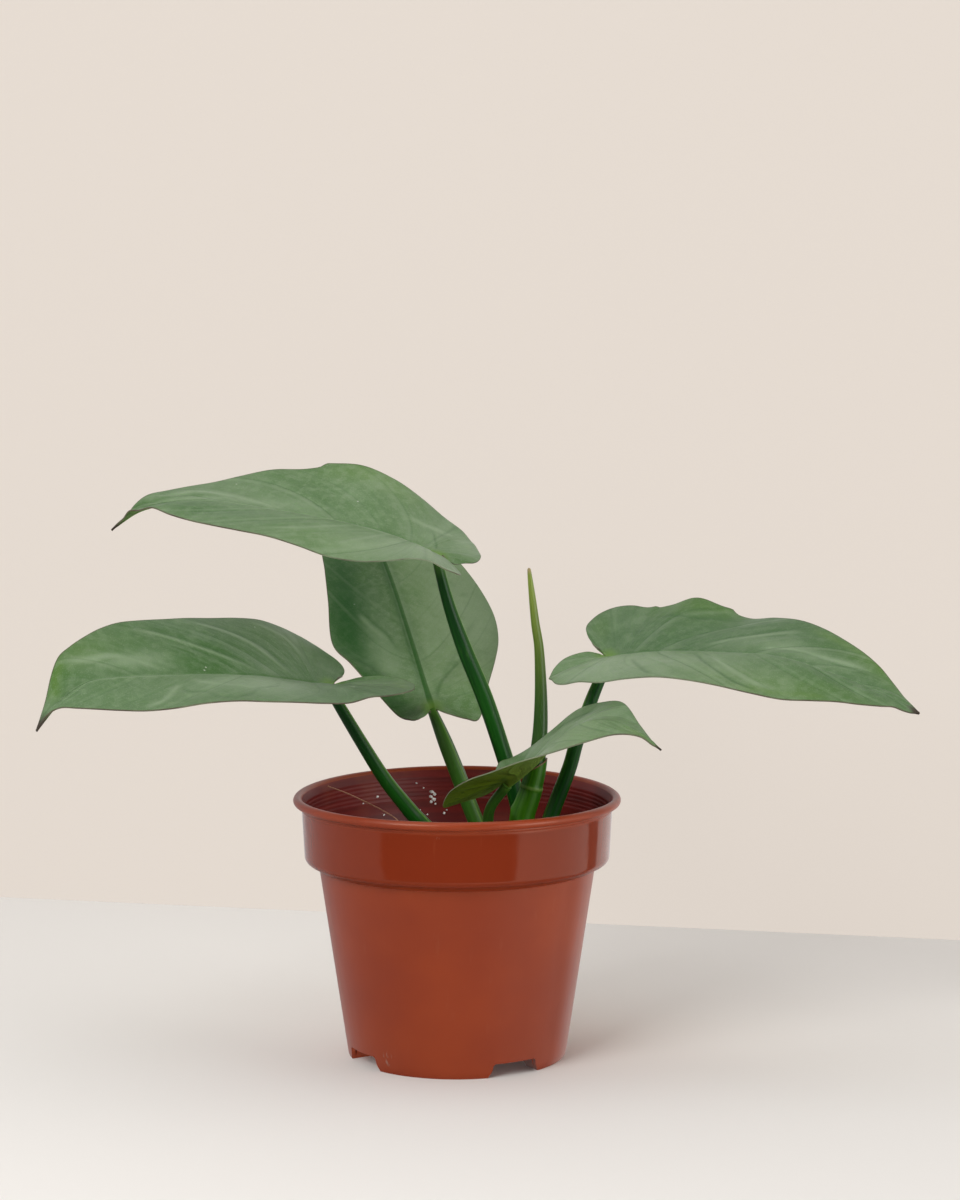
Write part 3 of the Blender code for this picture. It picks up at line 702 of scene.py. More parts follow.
                ("ridge", 0.9, 0.9, [(5.94, 0.77), (7.0, 0.68), (7.94, 0.63), (8.6, 0.6)]),
                ("crease", 0.8, 0.8, [(6.2, 0.86), (7.0, 0.80), (7.6, 0.80), (8.2, 0.8)]),
                ("silver", 1.4, 0.8, [(6.67, 0.92), (7.0, 0.97), (7.6, 0.97)]),
            ],
        ),
    ),
}


def midribLevel(blade, share):
    heights = smoothCurve(blade["midrib"], bladeForm["midribSteps"])[:, 0]
    return np.interp(share, np.linspace(0, 1, len(heights)), heights)


def bladeAxes(blade):
    # Level unit vectors along the blade and across it towards the front.
    heading = math.radians(blade["heading"])
    along = np.array([math.cos(heading), math.sin(heading)])
    across = np.array([-along[1], along[0]])
    return along, across if across[1] < 0 else -across


def bladeOutline(blade, number):
    if "outlines" in blade:
        return blade["outlines"][number]
    lobe, width = blade["lobe"][number], blade["width"][number]
    length = blade["length"]
    return [(ahead * (lobe if ahead < 0 else length), out * width) for ahead, out in bladeForm["outline"]]


def halfBlade(blade, side):
    # Rows of points from the midrib to one margin, with each row's root on the midrib.
    form = bladeForm
    number = ("front", "back").index(side)
    along, across = bladeAxes(blade)
    if side == "back":
        across = -across
    perSpan = form["rowsPerSpan"]
    outline = smoothCurve(bladeOutline(blade, number), perSpan)
    roots = smoothCurve(form["roots"], perSpan)[:, 0]
    edges = smoothCurve(blade[side], perSpan * (len(form["roots"]) - 1) // (len(blade[side]) - 1))[:, 0]
    even = np.linspace(0, 1, form["halfColumns"] + 1)
    shares = 0.5 * even + 0.5 * even**2
    start = np.array(blade["attach"])
    rows = []
    lifts = np.zeros(len(outline))
    for place, spread, height in blade.get("folds", {}).get(side, []):
        behind = place - np.arange(len(outline)) / perSpan
        steep = np.exp(-(behind / form["foldSpread"]) ** 2)
        lifts += height * np.where(behind > 0, np.exp(-behind / spread), steep)
    for (ahead, out), root, edge, lift in zip(outline, roots, edges, lifts):
        inner = start[:2] + root * blade["length"] * along
        outer = start[:2] + ahead * along + out * across
        level = midribLevel(blade, root)
        arch = form["archShape"] * blade["arch"][number] * out / form["fullWidth"]
        z = start[2] + level + (edge - level) * shares**form["risePower"] + arch * shares * (1 - shares)
        z += lift * shares**8
        flat = inner + np.outer(shares, outer - inner)
        rows.append(np.column_stack([flat, z]))
    return np.array(rows), shares, roots


def strokeMask(rows, shares, width, places):
    # 1 on the line through these outline points and shares of a half, fading beside it and to its ends.
    line = smoothCurve(places, 20)
    down = np.clip(line[:, 0] * bladeForm["rowsPerSpan"], 0, len(rows) - 1.001)
    across = np.clip(np.interp(line[:, 1], shares, np.arange(len(shares))), 0, len(shares) - 1.001)
    row, column = down.astype(int), across.astype(int)
    downPart, acrossPart = (down - row)[:, None], (across - column)[:, None]
    inner = rows[row, column] * (1 - downPart) + rows[row + 1, column] * downPart
    outer = rows[row, column + 1] * (1 - downPart) + rows[row + 1, column + 1] * downPart
    spots = inner * (1 - acrossPart) + outer * acrossPart
    ends = np.linspace(0, 1, len(spots))
    mask = np.zeros(rows.shape[:2])
    for spot, strength in zip(spots, np.clip(np.minimum(ends, 1 - ends) * 5 + 0.15, 0, 1)):
        mask = np.maximum(mask, strength * np.exp(-((rows - spot) ** 2).sum(axis=2) / width**2))
    return mask


def bladeMeasures(rows, shares, blade, side):
    # Distances in mm that the relief and the colours follow, for one half.
    form = bladeForm
    steps = np.linalg.norm(np.diff(rows, axis=1), axis=2)
    fromRib = np.concatenate([np.zeros((len(rows), 1)), np.cumsum(steps, axis=1)], axis=1)
    rowPlace = (np.arange(len(rows)) / form["rowsPerSpan"])[:, None]
    swept = np.clip((rowPlace - 4.5) / 3, 0, 1)
    phase = rowPlace - form["veinSweep"] * swept**2 * (3 - 2 * swept) * shares[None, :] ** 1.5
    gap = np.linalg.norm(np.gradient(rows, axis=0), axis=2) * form["rowsPerSpan"]
    strength = 0.65 + 0.35 * np.sin(np.rint(phase) * 2.4 + blade["heading"] + (side == "back") * 1.3)
    strength *= blade.get("veins", 0.85)
    paints = {kind: np.zeros_like(phase) for kind in ("deep", "silver", "young", "crease", "ridge")}
    for kind, row, share, rowSpread, shareSpread, amount in blade["paints"][side]:
        spot = ((rowPlace - row) / rowSpread) ** 2 + ((shares[None, :] - share) / shareSpread) ** 2
        paints[kind] = np.maximum(paints[kind], amount * np.exp(-spot))
    for kind, width, amount, places in blade["strokes"][side]:
        paints[kind] = np.maximum(paints[kind], amount * strokeMask(rows, shares, width, places))
    return dict(
        ribDistance=fromRib,
        ribBand=fromRib / (blade.get("ribBand", 0.55) * (1.25 - 0.75 * rowPlace / rowPlace[-1])),
        marginDistance=fromRib[:, -1:] - fromRib,
        veinPhase=phase,
        veinGap=np.maximum(gap, 0.5),
        veinStrength=strength * np.clip(gap / 10, 0, 1),
        attachDistance=np.linalg.norm(rows - np.array(blade["attach"]), axis=2),
        alongBlade=np.repeat(rowPlace / rowPlace[-1], len(shares), axis=1),
        paintedShadeTone=paints["deep"],
        paintedSheenTone=paints["silver"],
        youngAndBacklitTone=paints["young"],
        creaseAndShadeTone=paints["crease"],
        ridgeAndHighlightTone=paints["ridge"],
    )


def bladeRelief(measures, roots, shares, blade):
    # The midrib's groove, the side veins' grooves, the low swellings between them and a slight ripple.
    form = bladeForm
    depth, width = blade.get("groove", form["groove"])
    width = width * (1 - 0.6 * roots)[:, None]
    relief = -depth * ((1 - roots) ** 0.6)[:, None] * np.exp(-((measures["ribDistance"] / width) ** 2))
    phase = measures["veinPhase"]
    distance = (phase - np.rint(phase)) * measures["veinGap"]
    fade = np.clip(shares * 6, 0, 1) * np.clip((1 - shares) * 2.5, 0, 1)
    strength = measures["veinStrength"] * fade[None, :]
    relief -= form["veinDepth"] * strength * np.exp(-((distance / form["veinWidth"]) ** 2))
    relief += form["pillow"] * strength * (0.5 - 0.5 * np.cos(math.tau * phase))
    relief += form["ridgeHeight"] * measures["ridgeAndHighlightTone"] - form["creaseDepth"] * measures["creaseAndShadeTone"]
    wander = np.sin(phase * 2.3 + measures["ribDistance"] * 0.16)
    return relief + form["ripple"] * wander * fade[None, :]


def makeBlade(key, blade, looks):
    halves = {}
    for side in ("back", "front"):
        rows, shares, roots = halfBlade(blade, side)
        measures = bladeMeasures(rows, shares, blade, side)
        rows[:, :, 2] += bladeRelief(measures, roots, shares, blade)
        halves[side] = (rows, measures)
    points = np.concatenate([halves["back"][0][:, :0:-1], halves["front"][0]], axis=1)
    piece, row, column = gridPiece(toWorld(points))
    values = {}
    for measure in halves["front"][1]:
        both = np.concatenate([halves["back"][1][measure][:, :0:-1], halves["front"][1][measure]], axis=1)
        values[measure] = both[row, column]
        addAttribute(piece, measure, values[measure])
    if piece.data.polygons[len(piece.data.polygons) // 2].normal.z < 0:
        inEditMode(piece, bpy.ops.mesh.flip_normals)
    count = len(piece.data.vertices)
    solid = piece.modifiers.new("Thickness", "SOLIDIFY")
    solid.thickness = bladeForm["thick"] * mm
    solid.offset = -1.0
    solid.material_offset = 1
    solid.material_offset_rim = 2
    for look in looks:
        piece.data.materials.append(look)
    applyModifiers(piece)
    rib = bladeForm["ribDepth"] * (1 - roots[row]) ** bladeForm["ribTaper"]
    rib *= np.exp(-((values["ribDistance"] / bladeForm["ribWidth"]) ** 2))
    for under, drop in zip(piece.data.vertices[count:2 * count], rib):
        under.co.z -= drop * mm
    smoothAngle(piece, 40)
    dress(piece, "leafBlade_" + key, looks, "blade", "blade_" + key)


# Stems

stemForm = dict(
    perSpan=8, sides=48, seatRadius=2.2, ribDepth=3.2, foot=78.0, intoRib=1.4,
    # Lighter stalks: the small front stalk is young, and the rear stalk is painted lighter as painted light
    # on its channel side, which faces the front.
    young={"rear": 0.32, "front_small": 0.30},
)

# Each stem rises from the buried crown: x, y, z, radius. Most places above the soil were read off the
# photograph and turned into millimetres in a separate program, at a depth that was chosen by hand.
stems = {
    "upper_left": [
        (33.5, 9, 84, 3.6), (32.7, 9, 92, 3.6), (28.8, 9, 110, 3.8), (26.1, 8, 121.6, 3.85),
        (22.0, 7, 135.7, 3.85), (12.7, 4, 164, 3.85), (3.8, 1, 186, 3.6), (-3.5, -2, 207, 2.8),
    ],
    "lower_left": [
        (12, 0, 82, 3.5), (2, -1, 92, 3.8), (-10, -2, 101, 3.9), (-18, -2, 109, 3.8),
        (-23, -3, 115, 3.6), (-33, -4, 128, 3.3), (-43.5, -5, 145, 3.0), (-53, -5, 161, 2.7),
    ],
    "rear": [
        (18, 10, 84, 3.6), (13, 10.5, 96, 3.75), (7.5, 11, 108.5, 3.75), (1, 12, 125.5, 3.7),
        (-5.5, 13, 142, 3.4),
    ],
    "right": [
        (37.5, -4, 84, 3.6), (39, -4, 96, 3.7), (43, -4, 111, 3.7), (51, -4, 132.5, 3.5),
        (54.4, -5, 145, 3.4), (60.6, -5, 163, 3.1), (65.3, -5, 174.5, 2.7),
    ],
    "front_small": [
        (16.5, -9.5, 84, 2.9), (14.5, -14, 98, 2.8), (14.1, -18, 110, 2.5),
        (15.6, -23, 118.5, 2.3),
    ],
}
sheathForm = dict(
    path=[(27.5, -1, 84, 5.2), (28.6, -1.5, 98, 5.7), (29.8, -2, 110, 5.7), (31.8, -2, 116.4, 5.5),
          (33.4, -2, 121, 5.25), (34.5, -2, 125.4, 5.0), (35.8, -2, 130, 4.65), (36.7, -2, 134.5, 4.4),
          (37.2, -2, 138.5, 4.3)],
    ring=0.25, ringPlace=0.755, ringSpread=0.014, scarPlace=0.53, scarSpread=0.018, scar=0.35,
    mouth=(35.2, -2, 133.6), mouthNormal=(-5.3, -1.0, 9.5),
)
rolledForm = dict(
    path=[(35.2, -2, 122.0, 3.2), (35.5, -2, 124.4, 3.5), (36.2, -2, 131, 3.7), (37.1, -2, 139, 3.65),
          (38.1, -2, 150, 3.35), (38.4, -2, 161, 3.0), (38.2, -2, 173, 2.6), (37.4, -2, 188, 2.15),
          (35.8, -2, 198.5, 1.9), (34.3, -2, 211.0, 1.5), (32.9, -2, 222.6, 0.85), (32.7, -2, 224.1, 0.4)],
    lip=0.13, lipTurn=200.0, twist=70.0,
)


def seatUnder(blade):
    along, _ = bladeAxes(blade)
    x, y, z = blade["attach"]
    ahead = blade["seat"]
    level = midribLevel(blade, ahead / blade["length"])
    drop = stemForm["ribDepth"] - stemForm["intoRib"]
    return (x + ahead * along[0], y + ahead * along[1], z + level - drop, stemForm["seatRadius"])


def fromBelow(path):
    # The path with a foot straight down in the potting mix before its first point.
    x, y, _, radius = path[0]
    return [(x, y, stemForm["foot"], radius)] + path


def sweep(path, section):
    # Rings along the path. section gives the radius factor at each angle and share of the length.
    path = smoothCurve(path, stemForm["perSpan"])
    centres, radii = path[:, :3], path[:, 3]
    tangents = np.gradient(centres, axis=0)
    tangents /= np.linalg.norm(tangents, axis=1)[:, None]
    lean = centres[-1] - centres[0]
    lean /= np.linalg.norm(lean)
    side = np.array([0.0, 0.0, 1.0]) - lean[2] * lean
    if np.linalg.norm(side) < 0.1:
        side = np.array([0.0, -1.0, 0.0])
    turns = np.linspace(0, math.tau, stemForm["sides"] + 1)
    lengths = np.concatenate([[0], np.cumsum(np.linalg.norm(np.diff(centres, axis=0), axis=1))])
    rings = []
    for centre, radius, tangent, length in zip(centres, radii, tangents, lengths):
        side = side - side.dot(tangent) * tangent
        side /= np.linalg.norm(side)
        other = np.cross(tangent, side)
        factor = section(turns, length / lengths[-1])
        reach = np.outer(np.cos(turns) * factor, side) + np.outer(np.sin(turns) * factor, other)
        rings.append(centre + radius * reach)
    first, last = (np.tile(centre, (len(turns), 1)) for centre in (centres[0], centres[-1]))
    piece, row, column = gridPiece(toWorld(np.array([first] + rings + [last])))
    share = np.concatenate([[0], lengths / lengths[-1], [1]])
    addAttribute(piece, "alongStem", share[row])
    addAttribute(piece, "roundStem", column / stemForm["sides"])
    closeSeams(piece)
    smoothAngle(piece, 50)
    return piece


def petioleSection(turns, share):
    # Round, with a shallow channel between two low ridges on the upper side that fades towards the foot.
    away = np.minimum(turns, math.tau - turns)
    high = min(max((share - 0.1) * 1.6, 0.0), 1.0)
    channel = np.exp(-((away / 0.3) ** 2))
    ridges = np.exp(-(((away - 0.62) / 0.17) ** 2))
    return 1 + high * (0.05 * ridges - 0.16 * channel)


def sheathSection(turns, share):
    form = sheathForm
    ring = form["ring"] / 4 * math.exp(-(((share - form["ringPlace"]) / form["ringSpread"]) ** 2))
    slant = share - form["scarPlace"] - 0.05 * np.cos(turns + 0.8)
    scar = form["scar"] / 5 * np.exp(-((slant / form["scarSpread"]) ** 2))
    return 1 + ring + scar


def rolledSection(turns, share):
    # The leaf's outer margin lies over its roll, as a low step that winds slowly upwards.
    seam = math.radians(rolledForm["lipTurn"] + rolledForm["twist"] * share)
    after = (turns - seam) % math.tau / math.tau
    return 1 - rolledForm["lip"] * after + rolledForm["lip"] / 2


def petioleSkin():
    recipe = Recipe("petioleSkin")
    along = recipe.attribute("alongStem")
    around = recipe.attribute("roundStem")
    lines = recipe.lines(3, around * 14, along * 3)
    flecks = recipe.noise(420, 2, stretch=(1.0, 1.0, 0.3))
    fromTop = 0.5 - recipe.single("ABSOLUTE", around - 0.5)
    # The upper side is painted lighter, as painted light from above, and the edges of its channel carry a
    # painted highlight.
    upper = 1 - recipe.between(fromTop, 0.10, 0.24)
    ridge = 1 - recipe.between(recipe.single("ABSOLUTE", fromTop - 0.099), 0.006, 0.03)
    colour = recipe.over(
        (0.003, 0.038, 0.004),
        (recipe.between(lines, 0.4, 0.72), (0.008, 0.080, 0.005)),
        # painted light on the upper side and painted highlight along the channel's edges
        (upper * 0.55, (0.034, 0.125, 0.013)),
        (ridge * recipe.between(along, 0.1, 0.4) * 0.75, (0.130, 0.250, 0.050)),
        (recipe.between(flecks, 0.62, 0.75) * 0.22, (0.06, 0.15, 0.03)),
        (recipe.between(along, 0.93, 1.0) * 0.5, (0.07, 0.17, 0.02)),
        # lighter stalks: young growth, and painted light on the rear stalk
        (recipe.attribute("youngAndLitStem"), (0.075, 0.160, 0.018)),
    )
    height = (lines + flecks * 0.3) * 0.00008
    return recipe.finish(height, Base_Color=colour, Roughness=0.38, Specular_IOR_Level=0.2)


def rolledSkin():
    recipe = Recipe("rolledSkin")
    along = recipe.attribute("alongStem")
    around = recipe.attribute("roundStem")
    lines = recipe.lines(2, around * 20, along * 4)
    seam = (rolledForm["lipTurn"] + rolledForm["twist"] * along) / 360
    nearSeam = 1 - recipe.between(recipe.single("ABSOLUTE", around - seam), 0.004, 0.03)
    colour = recipe.over(
        (0.016, 0.064, 0.002),
        (recipe.between(along, 0.30, 1.08), (0.205, 0.265, 0.040)),
        (recipe.between(lines, 0.45, 0.7) * 0.35, (0.016, 0.064, 0.004)),
        (nearSeam * 0.6, (0.020, 0.080, 0.008)),
        (recipe.between(along, 0.965, 1.0), (0.28, 0.22, 0.10)),
    )
    return recipe.finish(
        lines * 0.00008, Base_Color=colour, Roughness=0.38, Specular_IOR_Level=0.34,
        Subsurface_Weight=0.1, Subsurface_Radius=(0.4, 1.0, 0.2), Subsurface_Scale=0.002)


def sheathSkin():
    recipe = Recipe("sheathSkin")
    along = recipe.attribute("alongStem")
    lines = recipe.lines(3, recipe.attribute("roundStem") * 22, along * 2)
    ring = 1 - recipe.between(recipe.single("ABSOLUTE", along - sheathForm["ringPlace"]), 0.004, 0.02)
    fromMouth = recipe.add(
        "ShaderNodeVectorMath", {"operation": "SUBTRACT"},
        {0: recipe.place(), 1: tuple(toWorld(sheathForm["mouth"]))})
    beyond = recipe.add(
        "ShaderNodeVectorMath", {"operation": "DOT_PRODUCT"},
        {0: fromMouth, 1: tuple(Vector(sheathForm["mouthNormal"]).normalized())}, out="Value")
    colour = recipe.over(
        (0.044, 0.165, 0.002),
        (recipe.between(lines, 0.35, 0.7), (0.020, 0.105, 0.002)),
        (ring * 0.6, (0.190, 0.330, 0.070)),
        (recipe.between(beyond, -0.0007, -0.0003), (0.20, 0.11, 0.06)),
    )
    return recipe.finish(lines * 0.0001, Base_Color=colour, Roughness=0.4, Specular_IOR_Level=0.22)


# Nursery pot

potForm = dict(
    bead=(73.0, 118.0), beadRadius=2.0, collarTop=(71.1, 113.5), collarFoot=(70.0, 91.0),
    bodyTop=(63.3, 87.4), bodyFoot=(50.6, 3.0), foot=50.0, footFlat=1.5, wall=1.2,
    floorUnder=7.0, steps=144,
    ribTop=115.0, ribStep=1.9, ribCount=6, ribOut=0.16, collarCorner=3.2,
    rings=(86.6, 80.0, 60.0, 40.0, 24.0, 14.0, 9.5, 7.6, 3.0),
    notchTurns=(31.5, 121.5, 211.5, 301.5), notchSize=(30.0, 22.4, 6.4), notchOut=6.0, notchCorner=2.2,
    notchFlare=(3.2, 1.2), cheekDeep=8.0, cheekWall=1.3, cheekIn=3.4, cheekUp=0.4,
    backRise=1.8, riseReach=75.0, risePower=1.3, riseFrom=92.0, riseOver=22.0, insideTop=2.7,
    drains=6, drainRadius=4.5, drainCircle=33.0,
)


def arc(middle, radius, turns):
    return [(middle[0] + radius * math.cos(turned), middle[1] + radius * math.sin(turned))
            for turned in map(math.radians, turns)]


def collarInside(height):
    # The collar's inner radius.
    (topRadius, top), (footRadius, foot) = potForm["collarTop"], potForm["collarFoot"]
    lean = (topRadius - footRadius) / (top - foot)
    return footRadius - potForm["wall"] + lean * (height - foot)


def riseAt(back):
    # The rim isn't quite level: it rises a little towards the back.
    share = max(back / (potForm["riseReach"] * mm), 0.0)
    return potForm["backRise"] * share ** potForm["risePower"]


def potProfile():
    # Radius and height of the pot's section, from the floor's inside up over the rim and down outside.
    form = potForm
    wall = form["wall"]
    bodyTop, bodyFoot = form["bodyTop"], form["bodyFoot"]
    slope = (bodyTop[0] - bodyFoot[0]) / (bodyTop[1] - bodyFoot[1])
    floorTop = form["floorUnder"] + wall
    inFoot = bodyFoot[0] + slope * (floorTop - bodyFoot[1]) - wall
    inside = [(inFoot - 2.0, floorTop), (inFoot - 0.6, floorTop + 0.6), (inFoot + slope * 2, floorTop + 2.0)]
    inside += [(bodyTop[0] - wall, bodyTop[1] - 0.5), (bodyTop[0] - wall + 0.6, bodyTop[1] + 0.7)]
    collarIn = form["collarFoot"][0] - wall
    inside += [(collarIn - 1.6, form["collarFoot"][1] + 0.8), (collarIn - 0.4, form["collarFoot"][1] + 1.6)]
    inside += [(collarIn, form["collarFoot"][1] + 3.0)]
    for number in reversed(range(form["ribCount"])):
        height = form["ribTop"] - number * form["ribStep"]
        radius = collarInside(height)
        step = form["ribStep"] / 2
        inside += [(radius, height - step), (radius - form["ribOut"], height - step * 0.4)]
        inside += [(radius - form["ribOut"], height + step * 0.2), (radius, height + step * 0.6)]
    bead = arc(form["bead"], form["beadRadius"], range(165, -106, -15))
    top = form["collarTop"]
    outside = [(top[0] + 0.55, 115.7), (top[0] + 0.6, 115.2), (top[0] + 0.45, 114.8), (top[0] + 0.05, 114.5)]
    outside.append(top)
    foot = form["collarFoot"]
    corner = form["collarCorner"]
    outside += arc((foot[0] - corner, foot[1] + 1.7), corner, (5, -12, -28, -44, -60, -76, -92))
    outside += [(bodyTop[0] + 1.6, bodyTop[1] + 0.6), (bodyTop[0] + 0.7, bodyTop[1] + 0.3), bodyTop]
    outside += [(bodyTop[0] - slope * (bodyTop[1] - level), level) for level in form["rings"]]
    outside += [(form["foot"] + 0.15, 0.5), (form["foot"] - 0.2, 0.0), (form["foot"] - form["footFlat"], 0.0)]
    outside += [(form["foot"] - form["footFlat"] - 0.3, 0.4), (bodyFoot[0] - wall, form["floorUnder"])]
    return inside + bead + outside


def turnedPiece(profile, steps):
    # A circle with a filled middle, extruded ring by ring through the profile's radii and heights.
    radius, height = profile[0]
    deselectAll()
    bpy.ops.mesh.primitive_circle_add(
        vertices=steps, radius=radius * mm, fill_type="NGON", location=(potAxis.x, potAxis.y, height * mm))
    piece = bpy.context.object
    bpy.ops.object.mode_set(mode="EDIT")
    bpy.ops.mesh.select_all(action="SELECT")
    for (radius, height), (nextRadius, nextHeight) in zip(profile, profile[1:]):
        bpy.ops.mesh.extrude_edges_move(
            TRANSFORM_OT_translate={"value": (0.0, 0.0, (nextHeight - height) * mm)})
        grow = nextRadius / radius
        bpy.ops.transform.resize(
            value=(grow, grow, 1.0), center_override=(potAxis.x, potAxis.y, nextHeight * mm))
    bpy.ops.mesh.edge_face_add()
    bpy.ops.mesh.select_all(action="SELECT")
    bpy.ops.mesh.normals_make_consistent(inside=False)
    bpy.ops.object.mode_set(mode="OBJECT")
    settle(piece)
    return piece


def cutAway(piece, cutter, kind="DIFFERENCE"):
    boolean = piece.modifiers.new("Cut", "BOOLEAN")
    boolean.operation = kind
    boolean.object = cutter
    applyModifiers(piece)
    bpy.data.objects.remove(cutter)


def makePot():
    form = potForm
    pot = turnedPiece(potProfile(), form["steps"])
    for turned in form["notchTurns"]:
        angle = math.radians(turned - 90.0)
        depth, width, height = form["notchSize"]
        low, wider = form["notchFlare"]
        # Each notch has cheeks that run inwards from the foot ring.
        cheeks = (width * wider + 2 * form["cheekWall"]) * mm
        deep = form["cheekDeep"]
        deselectAll()
        bpy.ops.mesh.primitive_cube_add(size=1.0, location=(0.0, 0.0, 0.0))
        block = bpy.context.object
        top = form["floorUnder"] + form["cheekUp"]
        block.scale = (deep * mm, cheeks, top * mm)
        block.location = aroundAxis(angle, form["foot"] - form["cheekIn"] - deep / 2, top / 2)
        block.rotation_euler = (0.0, 0.0, angle)
        settle(block)
        cutAway(pot, block, "UNION")
        deselectAll()
        bpy.ops.mesh.primitive_cube_add(size=1.0, location=(0.0, 0.0, (height + low) / 2 * mm))
        notch = bpy.context.object
        notch.scale = (depth * mm, width * mm, (height - low) * mm)
        settle(notch)
        selectFaces(notch, lambda face: face.normal.z < -0.5)
        bpy.ops.mesh.extrude_region_move(TRANSFORM_OT_translate={"value": (0.0, 0.0, -low * mm)})
        bpy.ops.transform.resize(value=(1.0, wider, 1.0), center_override=(0.0, 0.0, 0.0))
        bpy.ops.mesh.extrude_region_move(TRANSFORM_OT_translate={"value": (0.0, 0.0, -3 * low * mm)})
        bpy.ops.object.mode_set(mode="OBJECT")
        notch.location = aroundAxis(angle, form["foot"] - depth / 2 + form["notchOut"])
        notch.rotation_euler = (0.0, 0.0, angle)
        settle(notch)
        corners = notch.modifiers.new("Corners", "BEVEL")
        corners.width = form["notchCorner"] * mm
        corners.segments = 5
        applyModifiers(notch)
        cutAway(pot, notch)
    for number in range(form["drains"]):
        angle = math.tau * (number + 0.5) / form["drains"]
        place = aroundAxis(angle, form["drainCircle"], form["floorUnder"] + form["wall"] / 2)
        deselectAll()
        bpy.ops.mesh.primitive_cylinder_add(
            vertices=32, radius=form["drainRadius"] * mm, depth=4 * form["wall"] * mm, location=place)
        drain = bpy.context.object
        settle(drain)
        cutAway(pot, drain)
    for vertex in pot.data.vertices:
        high = min(max((vertex.co.z / mm - form["riseFrom"]) / form["riseOver"], 0.0), 1.0)
        vertex.co.z += riseAt(vertex.co.y - potAxis.y) * mm * high
    smoothAngle(pot, 38)
    dress(pot, "nurseryPot", [potOutside(), potInside()], "pot", "pot")
    for face in pot.data.polygons:
        out = (face.center - potAxis).xy
        inward = face.normal.xy.dot(out) < -0.35 * out.length
        inward = inward or (face.normal.z > 0.5 and face.center.z < 0.012)
        top = form["ribTop"] + form["insideTop"] + riseAt(out.y)
        face.material_index = int(inward and form["floorUnder"] < face.center.z / mm < top)


# A mark is its place from the pot's axis, its radius, its colour and its strength.
potLook = dict(
    outside=(0.268, 0.039, 0.0105),
    cloudy=(0.228, 0.031, 0.0100),
    collar=(0.186, 0.0245, 0.0075),
    inside=(0.165, 0.0145, 0.0115),
    insideLines=(0.120, 0.0125, 0.0110),
    worn=(0.30, 0.075, 0.035),
    marks=[
        ((-31.4, -40.8, 6.8), 4.5, (0.30, 0.19, 0.15), 0.6),
        ((-7.7, -70.4, 112.5), 0.9, (0.55, 0.40, 0.33), 0.8),
    ],
    collarRoughness=0.08,
    bodyRoughness=0.36,
)


def potOutside():
    recipe = Recipe("potOutside")
    look = potLook
    collar = recipe.between(recipe.axis("Z"), 0.0885, 0.0900)
    cloud = recipe.noise(22, 3)
    scuff = recipe.noise(260, 4, stretch=(1.0, 1.0, 0.15))
    fine = recipe.noise(1400, 2)
    colour = recipe.blend(recipe.between(cloud, 0.3, 0.7), look["outside"], look["cloudy"])
    belowBead = 1 - recipe.between(recipe.axis("Z"), 0.1130, 0.1145)
    colour = recipe.blend(collar * belowBead, colour, look["collar"])
    colour = recipe.blend(recipe.between(scuff, 0.62, 0.8) * 0.2, colour, look["worn"])
    scratches = recipe.between(recipe.noise(900, 3, stretch=(1.0, 1.0, 0.3)), 0.48, 0.62)
    for spot, radius, shade, strength in look["marks"]:
        away = recipe.add("ShaderNodeVectorMath", {"operation": "DISTANCE"},
                          {0: recipe.place(), 1: tuple(Vector(spot) * mm + potAxis)}, out="Value")
        near = 1 - recipe.between(away, radius * 0.3 * mm, radius * mm)
        colour = recipe.blend(near * scratches * strength, colour, shade)
    glossy = recipe.between(recipe.axis("Z"), 0.0900, 0.0925) * belowBead
    rough = look["bodyRoughness"] - glossy * (look["bodyRoughness"] - look["collarRoughness"])
    rough = rough + (scuff - 0.5) * (0.12 - collar * 0.08)
    wavy = recipe.noise(70, 1) * collar
    relief = (cloud * 3.0 + wavy * 7.0 + fine * 0.25 * (1 - collar)) * 0.00004
    return recipe.finish(relief, Base_Color=colour, Roughness=rough, Specular_IOR_Level=0.42,
                         Specular_Tint=(1.0, 0.84, 0.70, 1.0))


def potInside():
    recipe = Recipe("potInside")
    look = potLook
    cloud = recipe.noise(40, 3)
    lines = recipe.noise(300, 3, stretch=(0.06, 0.06, 1.0))
    colour = recipe.blend(recipe.between(lines, 0.42, 0.62), look["inside"], look["insideLines"])
    colour = recipe.blend(recipe.between(cloud, 0.55, 0.8) * 0.3, colour, look["worn"])
    return recipe.finish((cloud + lines) * 0.0001, Base_Color=colour, Roughness=0.45, Specular_IOR_Level=0.3)


# Potting mix

soilForm = dict(
    edge=84.0, crown=89.0, waves=[(0.5, 0.31, 0.0), (0.4, 0.0, 0.27), (0.35, 0.24, 0.5)],
    rings=90, turns=180, crumb=1.6, gap=0.3, bottom=8.6,
    lumps=420, perlite=90, bark=46, seed=7, clear=2.5, bitsSeed=11,
)


def soilWallRadius(height):
    (topRadius, top), (footRadius, foot) = potForm["bodyTop"], potForm["bodyFoot"]
    outer = footRadius + (topRadius - footRadius) * (height - foot) / (top - foot)
    return outer - potForm["wall"] - soilForm["gap"]


def soilHeight(x, y):
    form = soilForm
    share = min(math.hypot(x, y) / soilWallRadius(form["edge"]), 1.0)
    smooth = form["edge"] + (form["crown"] - form["edge"]) * (1 - share**2)
    lumpy = sum(tall * math.sin(turnX * x + turnY * y) for tall, turnX, turnY in form["waves"])
    crumbs = noise.fractal(Vector((x, y, 0.0)) * 0.22, 0.7, 2.0, 5)
    return smooth + (lumpy + form["crumb"] * crumbs) * (1 - share**6)


